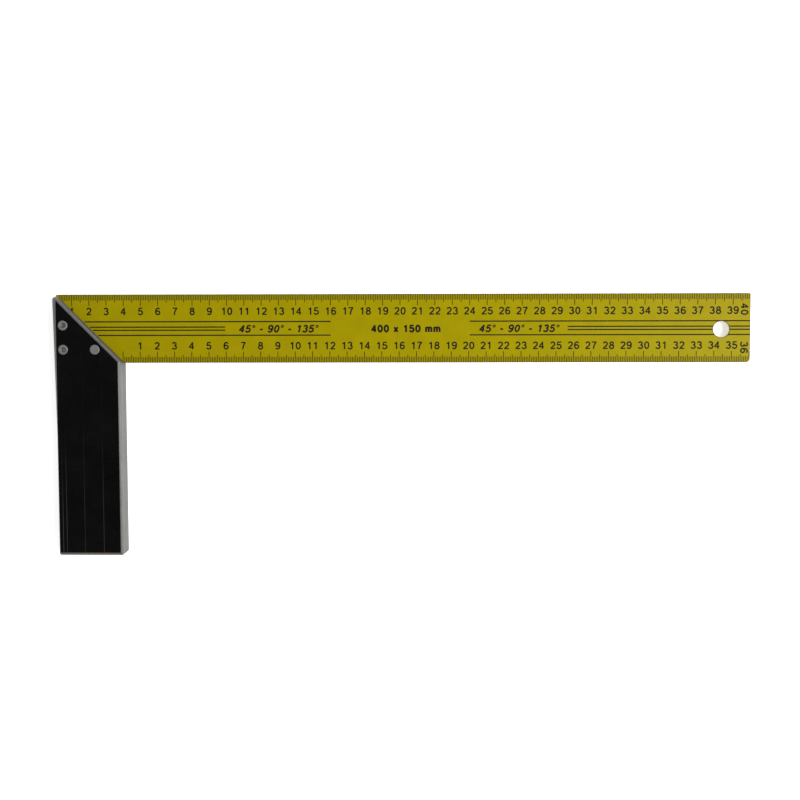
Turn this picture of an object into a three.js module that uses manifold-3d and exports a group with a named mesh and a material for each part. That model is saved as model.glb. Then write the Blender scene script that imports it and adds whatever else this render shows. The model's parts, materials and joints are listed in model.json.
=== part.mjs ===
// Try and mitre square: a printed steel blade held by three rivets in the slot of an aluminium stock.
// Millimetres, +Z up. The square lies flat on its stock: the blade points to +X, the stock to -Y, and
// the origin is on the resting plane, under the middle of the square's box.
import * as THREE from 'three';
import { mergeVertices } from 'three/addons/utils/BufferGeometryUtils.js';
import Module from 'manifold-3d';

// Places are measured from the heel of the outer scale: x along the blade, y across it from its outer edge.

// Blade
const SCALE_LENGTH = 400;
const BLADE_WIDTH = 39.5;
const BLADE_THICKNESS = 1.2;
const BLADE_TIP_OUTER_RADIUS = 1;
const BLADE_TIP_INNER_RADIUS = 2;
const BLADE_HEEL_RADIUS = 1.2;
const BLADE_HEEL_SETBACK = 0.15;
const HANGING_HOLE_RADIUS = 4.6;
const HANGING_HOLE_FROM_TIP = 16.5;
const HANGING_HOLE_FROM_OUTER_EDGE = 20.6;

// Stock. Its outer face is plain below the taper and ground out to the blade's heel above it. It is 150 long
// and stands a mitre step below the blade's outer edge, from which its length is counted here.
const STOCK_LENGTH = 151;
const STOCK_THICKNESS = 15;
const STOCK_INNER_X = 39.3;
const STOCK_OUTER_X = 1.9;
const STOCK_HEEL_X = 0.4;
const OUTER_TAPER_LENGTH = 80;
const MITRE_STEP = 1;
const STOCK_APEX_RADIUS = 1.4;
const STOCK_INNER_CORNER_RADIUS = 0.3;
const STOCK_FOOT_RADIUS = 0.8;

// Machined bevels around the stock's two broad faces: how far each reaches into the face
const BEVEL_DEPTH = 1;
const MITRE_BEVEL = 1.4;
const INNER_BEVEL = 1.4;
const FOOT_BEVEL = 1.6;
const OUTER_BEVEL = 0.5;
const OUTER_BEVEL_AT_HEEL = 2.2;
const FACE_APEX_RADIUS = 0.9;
const FACE_FOOT_RADIUS = 0.3;

// Slot that takes the blade, open on both narrow sides and on the mitre
const SLOT_CLEARANCE = 0.05;
const SLOT_FLOOR_GAP = 0.1;

// Rivets, and the holes they fill in the stock and the blade
const RIVET_RADIUS = 2.8;
const RIVET_HOLE_CLEARANCE = 0.05;
const RIVET_EDGE_BREAK = 0.12;
const RIVET_DIMPLE_RADIUS = 1.5;
const RIVET_DIMPLE_DEPTH = 0.35;
const RIVET_OUTER_ROW_X = 6.4;
const RIVET_INNER_ROW_X = 24.7;
const RIVET_HEEL_Y = -17.7;
const RIVET_LOWER_Y = -31.6;

// Shallow lines that the extrusion die leaves along both broad faces, by their place across the stock
const DIE_LINES = [
  { x: 4.6, width: 0.5, depth: 0.2 },
  { x: 6.8, width: 0.5, depth: 0.2 },
  { x: 17.3, width: 0.3, depth: 0.1 },
  { x: 28.3, width: 0.3, depth: 0.1 },
];

const ARC_STEPS = 6;
const ROUND_STEPS = 48;
const OVERCUT = 1;
const MERGE_DISTANCE = 1e-4;

const MID_PLANE = STOCK_THICKNESS / 2;

const wasm = await Module();
wasm.setup();

const lacqueredSteel = new THREE.MeshStandardMaterial({ color: 0xc8b81a, roughness: 0.45, metalness: 0 });
const anodisedAluminium = new THREE.MeshStandardMaterial({ color: 0x151515, roughness: 0.5, metalness: 0.3 });
const bareAluminium = new THREE.MeshStandardMaterial({ color: 0x9a9a96, roughness: 0.4, metalness: 1 });

function toSolid(geometry) {
  const bare = geometry.index ? geometry.toNonIndexed() : geometry.clone();
  bare.deleteAttribute('normal');
  bare.deleteAttribute('uv');
  const merged = mergeVertices(bare, MERGE_DISTANCE);
  return new wasm.Manifold(new wasm.Mesh({
    numProp: 3,
    vertProperties: new Float32Array(merged.attributes.position.array),
    triVerts: new Uint32Array(merged.index.array),
  }));
}

function toGeometry(solid) {
  const mesh = solid.getMesh();
  const geometry = new THREE.BufferGeometry();
  geometry.setAttribute('position', new THREE.BufferAttribute(mesh.vertProperties, 3));
  geometry.setIndex(new THREE.BufferAttribute(mesh.triVerts, 1));
  geometry.computeVertexNormals();
  return geometry;
}

// A cutting box between two corners.
function boxSolid(low, high) {
  const size = high.clone().sub(low);
  const middle = low.clone().add(high).multiplyScalar(0.5);
  return toSolid(new THREE.BoxGeometry(size.x, size.y, size.z).translate(middle.x, middle.y, middle.z));
}

// A cutting cylinder along Z that runs past both heights.
function drillSolid(x, y, radius, bottom, top) {
  const height = top - bottom + 2 * OVERCUT;
  const cylinder = new THREE.CylinderGeometry(radius, radius, height, ROUND_STEPS);
  return toSolid(cylinder.rotateX(Math.PI / 2).translate(x, y, (bottom + top) / 2));
}

// Outline of convex corners { x, y, radius }, listed anticlockwise, each rounded by an arc of its radius.
function roundedOutline(corners) {
  return corners.flatMap((corner, i) => {
    const point = new THREE.Vector2(corner.x, corner.y);
    if (!corner.radius) {
      return [point];
    }
    const before = corners[(i + corners.length - 1) % corners.length];
    const after = corners[(i + 1) % corners.length];
    const toBefore = new THREE.Vector2(before.x, before.y).sub(point).normalize();
    const toAfter = new THREE.Vector2(after.x, after.y).sub(point).normalize();
    const halfAngle = Math.acos(toBefore.dot(toAfter)) / 2;
    const toCentre = toBefore.clone().add(toAfter).setLength(corner.radius / Math.sin(halfAngle));
    const centre = point.clone().add(toCentre);
    const tangent = point.clone().addScaledVector(toBefore, corner.radius / Math.tan(halfAngle));
    const start = tangent.sub(centre).angle();
    const sweep = Math.PI - 2 * halfAngle;
    return Array.from({ length: ARC_STEPS + 1 }, (_, step) => {
      const angle = start + sweep * step / ARC_STEPS;
      return new THREE.Vector2(Math.cos(angle), Math.sin(angle)).multiplyScalar(corner.radius).add(centre);
    });
  });
}

// Closed body through outlines of equal point count, each at its own height, from the lowest up.
function loftSolid(sections) {
  const count = sections[0].outline.length;
  const positions = sections.flatMap(({ outline, z }) => outline.flatMap((point) => [point.x, point.y, z]));
  const triangles = [];
  for (let level = 0; level < sections.length - 1; level += 1) {
    for (let i = 0; i < count; i += 1) {
      const a = level * count + i;
      const b = level * count + (i + 1) % count;
      triangles.push(a, b, b + count, a, b + count, a + count);
    }
  }
  const top = (sections.length - 1) * count;
  THREE.ShapeUtils.triangulateShape(sections[0].outline, []).forEach(([a, b, c]) => {
    triangles.push(c, b, a);
  });
  THREE.ShapeUtils.triangulateShape(sections.at(-1).outline, []).forEach(([a, b, c]) => {
    triangles.push(top + a, top + b, top + c);
  });
  const geometry = new THREE.BufferGeometry();
  geometry.setAttribute('position', new THREE.Float32BufferAttribute(positions, 3));
  geometry.setIndex(triangles);
  return toSolid(geometry);
}

// Where the ground part of the outer face lies at a height y, and how its line runs further in by an inset.
function groundFaceX(y, heelInset = 0, plainInset = 0) {
  const heelX = STOCK_HEEL_X + heelInset;
  const plainX = STOCK_OUTER_X + plainInset;
  return heelX + (heelX - plainX) * y / OUTER_TAPER_LENGTH;
}

// The stock's outline seen from above, each side moved in by its inset: the foot, the inner face, the
// 45 degree mitre, the rounded apex and the outer face with its ground taper.
function stockOutline({ foot, inner, mitre, heel, outer, footRadius, apexRadius }) {
  const footY = foot - STOCK_LENGTH;
  const innerX = STOCK_INNER_X - inner;
  const outerX = STOCK_OUTER_X + outer;
  const mitreSum = MITRE_STEP - mitre * Math.SQRT2;
  const taper = groundFaceX(0, heel, outer) - groundFaceX(-1, heel, outer);
  const apexY = (mitreSum - groundFaceX(0, heel, outer)) / (1 + taper);
  return roundedOutline([
    { x: outerX, y: footY, radius: footRadius },
    { x: innerX, y: footY, radius: footRadius },
    { x: innerX, y: mitreSum - innerX, radius: STOCK_INNER_CORNER_RADIUS },
    { x: mitreSum - apexY, y: apexY, radius: apexRadius },
    { x: outerX, y: -OUTER_TAPER_LENGTH, radius: 0 },
  ]);
}

const stockSection = stockOutline({
  foot: 0,
  inner: 0,
  mitre: 0,
  heel: 0,
  outer: 0,
  footRadius: STOCK_FOOT_RADIUS,
  apexRadius: STOCK_APEX_RADIUS,
});

const stockFace = stockOutline({
  foot: FOOT_BEVEL,
  inner: INNER_BEVEL,
  mitre: MITRE_BEVEL,
  heel: OUTER_BEVEL_AT_HEEL,
  outer: OUTER_BEVEL,
  footRadius: FACE_FOOT_RADIUS,
  apexRadius: FACE_APEX_RADIUS,
});

const rivets = [
  { name: 'rivet_heel', x: RIVET_OUTER_ROW_X, y: RIVET_HEEL_Y, dimpled: true },
  { name: 'rivet_outer', x: RIVET_OUTER_ROW_X, y: RIVET_LOWER_Y, dimpled: true },
  { name: 'rivet_inner', x: RIVET_INNER_ROW_X, y: RIVET_LOWER_Y, dimpled: false },
];

function rivetHoles(bottom, top) {
  const radius = RIVET_RADIUS + RIVET_HOLE_CLEARANCE;
  return rivets.map((rivet) => drillSolid(rivet.x, rivet.y, radius, bottom, top));
}

function cutAll(solid, cutters) {
  return cutters.reduce((left, cutter) => left.subtract(cutter), solid);
}

function dieLineCutters() {
  return DIE_LINES.flatMap(({ x, width, depth }) => {
    const span = (low, high) => boxSolid(
      new THREE.Vector3(x - width / 2, -STOCK_LENGTH - OVERCUT, low),
      new THREE.Vector3(x + width / 2, OVERCUT, high),
    );
    return [span(-OVERCUT, depth), span(STOCK_THICKNESS - depth, STOCK_THICKNESS + OVERCUT)];
  });
}

function buildStock() {
  const body = loftSolid([
    { outline: stockFace, z: 0 },
    { outline: stockSection, z: BEVEL_DEPTH },
    { outline: stockSection, z: STOCK_THICKNESS - BEVEL_DEPTH },
    { outline: stockFace, z: STOCK_THICKNESS },
  ]);
  const halfSlot = BLADE_THICKNESS / 2 + SLOT_CLEARANCE;
  const slot = boxSolid(
    new THREE.Vector3(-OVERCUT, -BLADE_WIDTH - SLOT_FLOOR_GAP, MID_PLANE - halfSlot),
    new THREE.Vector3(STOCK_INNER_X + OVERCUT, OVERCUT, MID_PLANE + halfSlot),
  );
  const cutters = [slot, ...rivetHoles(0, STOCK_THICKNESS), ...dieLineCutters()];
  const stock = new THREE.Mesh(toGeometry(cutAll(body, cutters)), anodisedAluminium);
  stock.name = 'stock';
  return stock;
}

// The blade's heel follows the stock's ground outer face, a little inside it.
function buildBlade() {
  const outline = roundedOutline([
    { x: groundFaceX(-BLADE_WIDTH) + BLADE_HEEL_SETBACK, y: -BLADE_WIDTH, radius: 0 },
    { x: SCALE_LENGTH, y: -BLADE_WIDTH, radius: BLADE_TIP_INNER_RADIUS },
    { x: SCALE_LENGTH, y: 0, radius: BLADE_TIP_OUTER_RADIUS },
    { x: groundFaceX(0) + BLADE_HEEL_SETBACK, y: 0, radius: BLADE_HEEL_RADIUS },
  ]);
  const low = MID_PLANE - BLADE_THICKNESS / 2;
  const high = MID_PLANE + BLADE_THICKNESS / 2;
  const plate = new THREE.ExtrudeGeometry(
    new THREE.Shape(outline),
    { depth: BLADE_THICKNESS, bevelEnabled: false },
  ).translate(0, 0, low);
  const hangingHole = drillSolid(
    SCALE_LENGTH - HANGING_HOLE_FROM_TIP,
    -HANGING_HOLE_FROM_OUTER_EDGE,
    HANGING_HOLE_RADIUS,
    low,
    high,
  );
  const solid = cutAll(toSolid(plate), [hangingHole, ...rivetHoles(low, high)]);
  const blade = new THREE.Mesh(toGeometry(solid), lacqueredSteel);
  blade.name = 'blade';
  return blade;
}

// A solid pin ground flush at both ends. A dimpled one also keeps the punch mark that spread its end.
function rivetGeometry(dimpled) {
  const body = [
    new THREE.Vector2(RIVET_RADIUS - RIVET_EDGE_BREAK, 0),
    new THREE.Vector2(RIVET_RADIUS, RIVET_EDGE_BREAK),
    new THREE.Vector2(RIVET_RADIUS, STOCK_THICKNESS - RIVET_EDGE_BREAK),
    new THREE.Vector2(RIVET_RADIUS - RIVET_EDGE_BREAK, STOCK_THICKNESS),
  ];
  const floorRadius = RIVET_DIMPLE_RADIUS - RIVET_DIMPLE_DEPTH;
  const lowEnd = dimpled
    ? [
      new THREE.Vector2(0, RIVET_DIMPLE_DEPTH),
      new THREE.Vector2(floorRadius, RIVET_DIMPLE_DEPTH),
      new THREE.Vector2(RIVET_DIMPLE_RADIUS, 0),
    ]
    : [new THREE.Vector2(0, 0)];
  const highEnd = lowEnd.map((point) => new THREE.Vector2(point.x, STOCK_THICKNESS - point.y)).reverse();
  return new THREE.LatheGeometry([...lowEnd, ...body, ...highEnd], ROUND_STEPS).rotateX(Math.PI / 2);
}

function buildRivet({ name, x, y, dimpled }) {
  const rivet = new THREE.Mesh(toGeometry(toSolid(rivetGeometry(dimpled))), bareAluminium);
  rivet.name = name;
  rivet.position.set(x, y, 0);
  return rivet;
}

const square = new THREE.Group();
square.name = 'try_and_mitre_square';
square.add(buildStock(), buildBlade(), ...rivets.map(buildRivet));
const middle = new THREE.Box3().setFromObject(square).getCenter(new THREE.Vector3());
square.position.set(-middle.x, -middle.y, 0);

export default square;
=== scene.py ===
"""Looks of the try and mitre square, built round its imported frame.

Lengths are millimetres unless a name says otherwise. Places are measured from the heel of the outer
scale: along the blade, across it from its outer edge (negative towards the stock's foot) and up from
the blade's mid-plane. Datum turns them into the frame's metres.
"""

from __future__ import annotations

import json
import logging
import math
from collections.abc import Callable, Iterable, Mapping, Sequence
from dataclasses import dataclass
from enum import Enum
from typing import Any

import bmesh  # noqa: E402
import bpy  # noqa: E402
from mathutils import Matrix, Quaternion, Vector  # noqa: E402

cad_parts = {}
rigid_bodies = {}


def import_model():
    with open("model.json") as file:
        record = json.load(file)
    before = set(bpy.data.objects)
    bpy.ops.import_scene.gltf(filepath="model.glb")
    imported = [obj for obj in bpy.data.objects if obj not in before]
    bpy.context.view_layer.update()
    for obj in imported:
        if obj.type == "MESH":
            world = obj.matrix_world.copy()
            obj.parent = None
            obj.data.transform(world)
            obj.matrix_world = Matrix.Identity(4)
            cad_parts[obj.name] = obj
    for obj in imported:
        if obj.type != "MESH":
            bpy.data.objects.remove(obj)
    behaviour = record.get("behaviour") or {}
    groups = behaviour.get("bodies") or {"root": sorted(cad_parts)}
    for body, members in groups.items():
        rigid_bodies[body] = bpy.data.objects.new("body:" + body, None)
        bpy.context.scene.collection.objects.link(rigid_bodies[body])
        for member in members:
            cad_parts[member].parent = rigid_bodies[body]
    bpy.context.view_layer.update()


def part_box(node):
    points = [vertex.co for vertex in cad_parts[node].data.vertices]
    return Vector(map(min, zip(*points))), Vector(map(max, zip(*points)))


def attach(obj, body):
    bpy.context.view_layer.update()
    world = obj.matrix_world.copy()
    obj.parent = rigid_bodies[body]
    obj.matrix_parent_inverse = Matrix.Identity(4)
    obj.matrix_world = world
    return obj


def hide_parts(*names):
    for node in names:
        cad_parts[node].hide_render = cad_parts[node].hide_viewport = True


log = logging.getLogger("try_and_mitre_square")

MM = 0.001
CENTIMETRE = 10.0
BODY = "root"

# How far a cutter runs past the surface it cuts.
CUT_OVERRUN = 1.0
# The rivet holes of the blade and the stock, and the sides that stand for their circles.
RIVET_HOLE_RADIUS = 2.85
RIVET_SIDES = 48

Color = tuple[float, float, float, float]

WHITE: Color = (1.0, 1.0, 1.0, 1.0)


class Slot(Enum):
    """Material slots of the record."""

    BLADE = "blade_lacquer"
    STOCK = "stock_aluminium"
    RIVET = "rivet_aluminium"


class Side(Enum):
    """The two broad faces of the square."""

    FRONT = 1
    BACK = -1

    @property
    def label(self) -> str:
        """Lower-case name for piece names."""
        return self.name.lower()


# --------------------------------------------------------------------------------------------------
# Places and shapes


@dataclass(frozen=True)
class Datum:
    """Where the square's own millimetres lie in the frame.

    Attributes:
        heel: X of the outer scale's zero, in metres.
        edge: Y of the blade's outer edge, in metres.
        middle: Z of the blade's mid-plane, in metres.
    """

    heel: float
    edge: float
    middle: float

    @classmethod
    def from_frame(cls, scale_length: float) -> Datum:
        """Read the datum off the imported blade.

        Args:
            scale_length: Length of the outer scale, which ends at the blade's tip.

        Returns:
            The datum.
        """
        low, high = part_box("blade")
        return cls(high.x - scale_length * MM, high.y, (low.z + high.z) / 2)

    def at(self, along: float, across: float, up: float) -> Vector:
        """Frame position, in metres, of a place on the square in millimetres."""
        return Vector((self.heel + along * MM, self.edge + across * MM, self.middle + up * MM))


@dataclass(frozen=True)
class Corner:
    """A corner of an outline, rounded by a radius."""

    x: float
    y: float
    radius: float = 0.0


def rounded_outline(corners: Sequence[Corner], steps: int = 6) -> list[Vector]:
    """Round the corners of a convex outline.

    Args:
        corners: The corners, anticlockwise.
        steps: Chords in each rounding.

    Returns:
        The points of the outline, anticlockwise, at height 0.
    """
    points: list[Vector] = []
    for i, corner in enumerate(corners):
        point = Vector((corner.x, corner.y, 0.0))
        if not corner.radius:
            points.append(point)
            continue
        before, after = corners[i - 1], corners[(i + 1) % len(corners)]
        to_before = (Vector((before.x, before.y, 0.0)) - point).normalized()
        to_after = (Vector((after.x, after.y, 0.0)) - point).normalized()
        half = math.acos(to_before.dot(to_after)) / 2
        centre = point + (to_before + to_after).normalized() * (corner.radius / math.sin(half))
        start = point + to_before * (corner.radius / math.tan(half)) - centre
        first = math.atan2(start.y, start.x)
        for step in range(steps + 1):
            angle = first + (math.pi - 2 * half) * step / steps
            points.append(centre + Vector((math.cos(angle), math.sin(angle), 0.0)) * corner.radius)
    return points


def circle(x: float, y: float, radius: float, steps: int = 64) -> list[Vector]:
    """Points of a circle, anticlockwise, at height 0."""
    turns = (2 * math.pi * step / steps for step in range(steps))
    return [Vector((x + radius * math.cos(a), y + radius * math.sin(a), 0.0)) for a in turns]


@dataclass(frozen=True)
class Ring:
    """One level of a lofted body: an outline at a height."""

    outline: Sequence[Vector]
    height: float


class Shaper:
    """Builds, cuts and finishes mesh pieces in the square's own millimetres."""

    def __init__(self, datum: Datum) -> None:
        """Work from a datum."""
        self.datum = datum

    def piece(self, name: str, build: Callable[[bmesh.types.BMesh], None]) -> bpy.types.Object:
        """Make an object from mesh code.

        Args:
            name: Name of the piece.
            build: Fills an empty bmesh, in millimetres on the square.

        Returns:
            The object, at the origin, with its place in its mesh.
        """
        form = bmesh.new()
        build(form)
        for vertex in form.verts:
            vertex.co = self.datum.at(*vertex.co)
        bmesh.ops.recalc_face_normals(form, faces=form.faces)
        mesh = bpy.data.meshes.new(name)
        form.to_mesh(mesh)
        form.free()
        return self.place(name, mesh)

    @staticmethod
    def place(name: str, mesh: bpy.types.Mesh) -> bpy.types.Object:
        """Put a mesh in the scene as an object.

        Args:
            name: Name of the object.
            mesh: Its mesh.

        Returns:
            The object.
        """
        thing = bpy.data.objects.new(name, mesh)
        bpy.context.scene.collection.objects.link(thing)
        return thing

    @staticmethod
    def loft(form: bmesh.types.BMesh, rings: Sequence[Ring]) -> None:
        """Add a closed body through rings of equal point count.

        Args:
            form: The mesh to add to.
            rings: The levels of the body, from the lowest up.
        """
        levels = [
            [form.verts.new((point.x, point.y, ring.height)) for point in ring.outline] for ring in rings
        ]
        for lower, upper in zip(levels, levels[1:]):
            for i, vertex in enumerate(lower):
                after = (i + 1) % len(lower)
                form.faces.new((vertex, lower[after], upper[after], upper[i]))
        form.faces.new(list(reversed(levels[0])))
        form.faces.new(levels[-1])

    @staticmethod
    def box(form: bmesh.types.BMesh, low: Sequence[float], high: Sequence[float]) -> None:
        """Add a box.

        Args:
            form: The mesh to add to.
            low: Its lowest corner.
            high: Its highest corner.
        """
        (left, front, bottom), (right, back, top) = low, high
        corners = ((left, front), (right, front), (right, back), (left, back))
        outline = [Vector((x, y, 0.0)) for x, y in corners]
        Shaper.loft(form, [Ring(outline, bottom), Ring(outline, top)])

    @staticmethod
    def drill(
        form: bmesh.types.BMesh, outline: Sequence[Vector], reach: float, level: float = 0.0
    ) -> None:
        """Add an upright cutter.

        Args:
            form: The mesh to add to.
            outline: Outline of the hole.
            reach: How far the cutter goes up and down from its level.
            level: Height of the cutter's middle.
        """
        Shaper.loft(form, [Ring(outline, level - reach), Ring(outline, level + reach)])

    @staticmethod
    def bake(source: bpy.types.Object, name: str) -> bpy.types.Object:
        """Turn an object with live modifiers into a plain mesh piece and drop the source.

        Args:
            source: The object with its modifiers.
            name: Name of the plain piece.

        Returns:
            The plain piece.
        """
        bpy.context.view_layer.update()
        graph = bpy.context.evaluated_depsgraph_get()
        mesh = bpy.data.meshes.new_from_object(source.evaluated_get(graph))
        source.modifiers.clear()
        bpy.data.objects.remove(source)
        mesh.name = name
        return Shaper.place(name, mesh)

    def cut(self, body: bpy.types.Object, cutters: Sequence[bpy.types.Object]) -> bpy.types.Object:
        """Subtract cutters from a body, one after the other.

        Args:
            body: The body to cut.
            cutters: Closed cutters. They are removed.

        Returns:
            The cut body, under the same name.
        """
        name = body.name
        for cutter in cutters:
            difference = body.modifiers.new(cutter.name, "BOOLEAN")
            difference.operation = "DIFFERENCE"
            difference.solver = "EXACT"
            difference.object = cutter
        body.name = f"{name}_uncut"
        result = self.bake(body, name)
        for cutter in cutters:
            bpy.data.objects.remove(cutter)
        return result

    @staticmethod
    def soften(piece: bpy.types.Object, sharp_degrees: float = 42.0) -> None:
        """Shade a piece smooth, apart from edges sharper than an angle."""
        piece.data.polygons.foreach_set("use_smooth", [True] * len(piece.data.polygons))
        piece.data.set_sharp_from_angle(angle=math.radians(sharp_degrees))


# --------------------------------------------------------------------------------------------------
# Nodes


class Bench:
    """Adds and wires the nodes of one shader or geometry tree."""

    def __init__(self, tree: bpy.types.NodeTree) -> None:
        """Start on an emptied tree."""
        self.tree = tree
        tree.nodes.clear()

    def feed(self, socket: bpy.types.NodeSocket, value: Any) -> None:
        """Link or set an input.

        Args:
            socket: The input.
            value: A socket, a node for its first output, or the input's own value.
        """
        if isinstance(value, bpy.types.Node):
            value = value.outputs[0]
        if isinstance(value, bpy.types.NodeSocket):
            self.tree.links.new(value, socket)
        else:
            socket.default_value = value

    def add(self, kind: str, feeds: Mapping[str | int, Any] | None = None, **settings: Any) -> bpy.types.Node:
        """Add a node.

        Args:
            kind: The node's type.
            feeds: Sockets or values for its inputs, by name or index.
            **settings: Its other properties.

        Returns:
            The node.
        """
        node = self.tree.nodes.new(kind)
        for name, value in settings.items():
            setattr(node, name, value)
        for key, value in (feeds or {}).items():
            self.feed(node.inputs[key], value)
        return node

    def math(self, operation: str, *values: Any, clamp: bool = False) -> bpy.types.NodeSocket:
        """Result of one operation on numbers."""
        feeds = dict(enumerate(values))
        return self.add("ShaderNodeMath", feeds, operation=operation, use_clamp=clamp).outputs[0]

    def vector(self, operation: str, *values: Any) -> bpy.types.NodeSocket:
        """Result of one operation on vectors."""
        node = self.add("ShaderNodeVectorMath", dict(enumerate(values)), operation=operation)
        return node.outputs["Value" if operation in ("LENGTH", "DISTANCE") else "Vector"]

    def ramp(
        self, value: Any, start: float, end: float, low: Any = 0.0, high: Any = 1.0
    ) -> bpy.types.NodeSocket:
        """Smooth step from one number to another, as a value goes from start to end."""
        feeds = {"Value": value, "From Min": start, "From Max": end, "To Min": low, "To Max": high}
        return self.add("ShaderNodeMapRange", feeds, interpolation_type="SMOOTHSTEP").outputs[0]

    def mix(self, share: Any, first: Any, second: Any) -> bpy.types.NodeSocket:
        """Blend of two colours."""
        node = self.add("ShaderNodeMix", {0: share, 6: first, 7: second}, data_type="RGBA")
        return node.outputs[2]

    def axes(self, place: Any) -> tuple[bpy.types.NodeSocket, ...]:
        """The along, across and up parts of a place."""
        return tuple(self.add("ShaderNodeSeparateXYZ", {0: place}).outputs)

    def flat(self, place: Any) -> bpy.types.NodeSocket:
        """A place brought down to height 0."""
        return self.vector("MULTIPLY", place, (1.0, 1.0, 0.0))

    def noise(self, vector: Any, scale: Any, detail: float = 3.0) -> bpy.types.NodeSocket:
        """Noise around 0.5 on a place in millimetres."""
        feeds = {"Vector": vector, "Scale": scale, "Detail": detail}
        return self.add("ShaderNodeTexNoise", feeds).outputs[0]


@dataclass(frozen=True)
class Port:
    """A named input or output of a node group."""

    name: str
    kind: str


def numbers(*names: str) -> tuple[Port, ...]:
    """Number ports."""
    return tuple(Port(name, "NodeSocketFloat") for name in names)


def vectors(*names: str) -> tuple[Port, ...]:
    """Ports for places, offsets and stretches."""
    return tuple(Port(name, "NodeSocketVector") for name in names)


def colors(*names: str) -> tuple[Port, ...]:
    """Colour ports."""
    return tuple(Port(name, "NodeSocketColor") for name in names)


def open_group(
    name: str, kind: str, takes: Iterable[Port], gives: Iterable[Port]
) -> tuple[Bench, bpy.types.Node, bpy.types.Node]:
    """Start a node group.

    Args:
        name: Name of the group.
        kind: Tree type.
        takes: Its inputs.
        gives: Its outputs.

    Returns:
        Its bench, its input node and its output node.
    """
    tree = bpy.data.node_groups.new(name, kind)
    for ports, way in ((takes, "INPUT"), (gives, "OUTPUT")):
        for port in ports:
            tree.interface.new_socket(port.name, in_out=way, socket_type=port.kind)
    bench = Bench(tree)
    return bench, bench.add("NodeGroupInput"), bench.add("NodeGroupOutput")


class Effect(Enum):
    """Surface effects that several finishes share, each one node group."""

    MOTTLE = "mottle"
    GRAIN = "drawn_grain"
    SMUDGE = "smudge"
    BROKEN_EDGE = "broken_edge"


class EffectShelf:
    """Builds each shared effect once and places it in materials."""

    def __init__(self) -> None:
        """Build every effect."""
        self.groups = {
            Effect.MOTTLE: self._mottle(),
            Effect.GRAIN: self._grain(),
            Effect.SMUDGE: self._smudge(),
            Effect.BROKEN_EDGE: self._broken_edge(),
        }

    def use(self, bench: Bench, effect: Effect, **feeds: Any) -> bpy.types.Node:
        """Place an effect in a material.

        Args:
            bench: The material's bench.
            effect: Which effect.
            **feeds: Its inputs.

        Returns:
            The group node.
        """
        return bench.add("ShaderNodeGroup", feeds, node_tree=self.groups[effect])

    @staticmethod
    def _mottle() -> bpy.types.NodeTree:
        """Cloudy drift between two colours, with a fine height for its skin.

        Returns:
            The node group.
        """
        bench, source, result = open_group(
            Effect.MOTTLE.value,
            "ShaderNodeTree",
            (*vectors("Place"), *numbers("Scale", "Contrast"), *colors("Dark", "Light")),
            (*colors("Color"), *numbers("Share", "Height")),
        )
        finer, broad_share, fine_share = 9.0, 0.6, 0.4
        take = source.outputs
        broad = bench.noise(take["Place"], take["Scale"])
        fine = bench.noise(take["Place"], bench.math("MULTIPLY", take["Scale"], finer))
        both = bench.math(
            "ADD", bench.math("MULTIPLY", broad, broad_share), bench.math("MULTIPLY", fine, fine_share)
        )
        spread = bench.math("MULTIPLY", bench.math("SUBTRACT", both, 0.5), take["Contrast"])
        share = bench.math("ADD", spread, 0.5, clamp=True)
        bench.feed(result.inputs["Color"], bench.mix(share, take["Dark"], take["Light"]))
        bench.feed(result.inputs["Share"], share)
        bench.feed(result.inputs["Height"], fine)
        return bench.tree

    @staticmethod
    def _grain() -> bpy.types.NodeTree:
        """Long parallel scratches, drawn out along one direction.

        Returns:
            The node group.
        """
        bench, source, result = open_group(
            Effect.GRAIN.value,
            "ShaderNodeTree",
            (*vectors("Place", "Stretch"), *numbers("Scale")),
            numbers("Value", "Height"),
        )
        finer = 4.0
        take = source.outputs
        drawn = bench.vector("MULTIPLY", take["Place"], take["Stretch"])
        coarse = bench.noise(drawn, take["Scale"], detail=5.0)
        fine = bench.noise(drawn, bench.math("MULTIPLY", take["Scale"], finer), detail=4.0)
        bench.feed(result.inputs["Value"], coarse)
        bench.feed(result.inputs["Height"], bench.math("ADD", bench.math("MULTIPLY", coarse, 0.5), fine))
        return bench.tree

    @staticmethod
    def _smudge() -> bpy.types.NodeTree:
        """Scattered soft marks that cover a share of the surface.

        Returns:
            The node group.
        """
        bench, source, result = open_group(
            Effect.SMUDGE.value,
            "ShaderNodeTree",
            (*vectors("Place"), *numbers("Scale", "Cover")),
            numbers("Mask"),
        )
        cloud = bench.noise(source.outputs["Place"], source.outputs["Scale"], detail=6.0)
        lifted = bench.math("ADD", cloud, bench.math("SUBTRACT", source.outputs["Cover"], 0.5))
        bench.feed(result.inputs["Mask"], bench.ramp(lifted, 0.5, 0.7))
        return bench.tree

    @staticmethod
    def _broken_edge() -> bpy.types.NodeTree:
        """Mask that is 1 at an edge and fades out unevenly a reach away from it.

        Returns:
            The node group.
        """
        bench, source, result = open_group(
            Effect.BROKEN_EDGE.value,
            "ShaderNodeTree",
            (*vectors("Place"), *numbers("Distance", "Reach", "Wander", "Scale")),
            numbers("Mask"),
        )
        take = source.outputs
        cloud = bench.noise(take["Place"], take["Scale"], detail=5.0)
        drift = bench.math("MULTIPLY", bench.math("SUBTRACT", cloud, 0.5), take["Wander"])
        moved = bench.math("ADD", take["Distance"], drift)
        share = bench.math("DIVIDE", moved, take["Reach"])
        bench.feed(result.inputs["Mask"], bench.ramp(share, 0.6, 1.4, 1.0, 0.0))
        return bench.tree


# --------------------------------------------------------------------------------------------------
# Finishes


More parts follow.
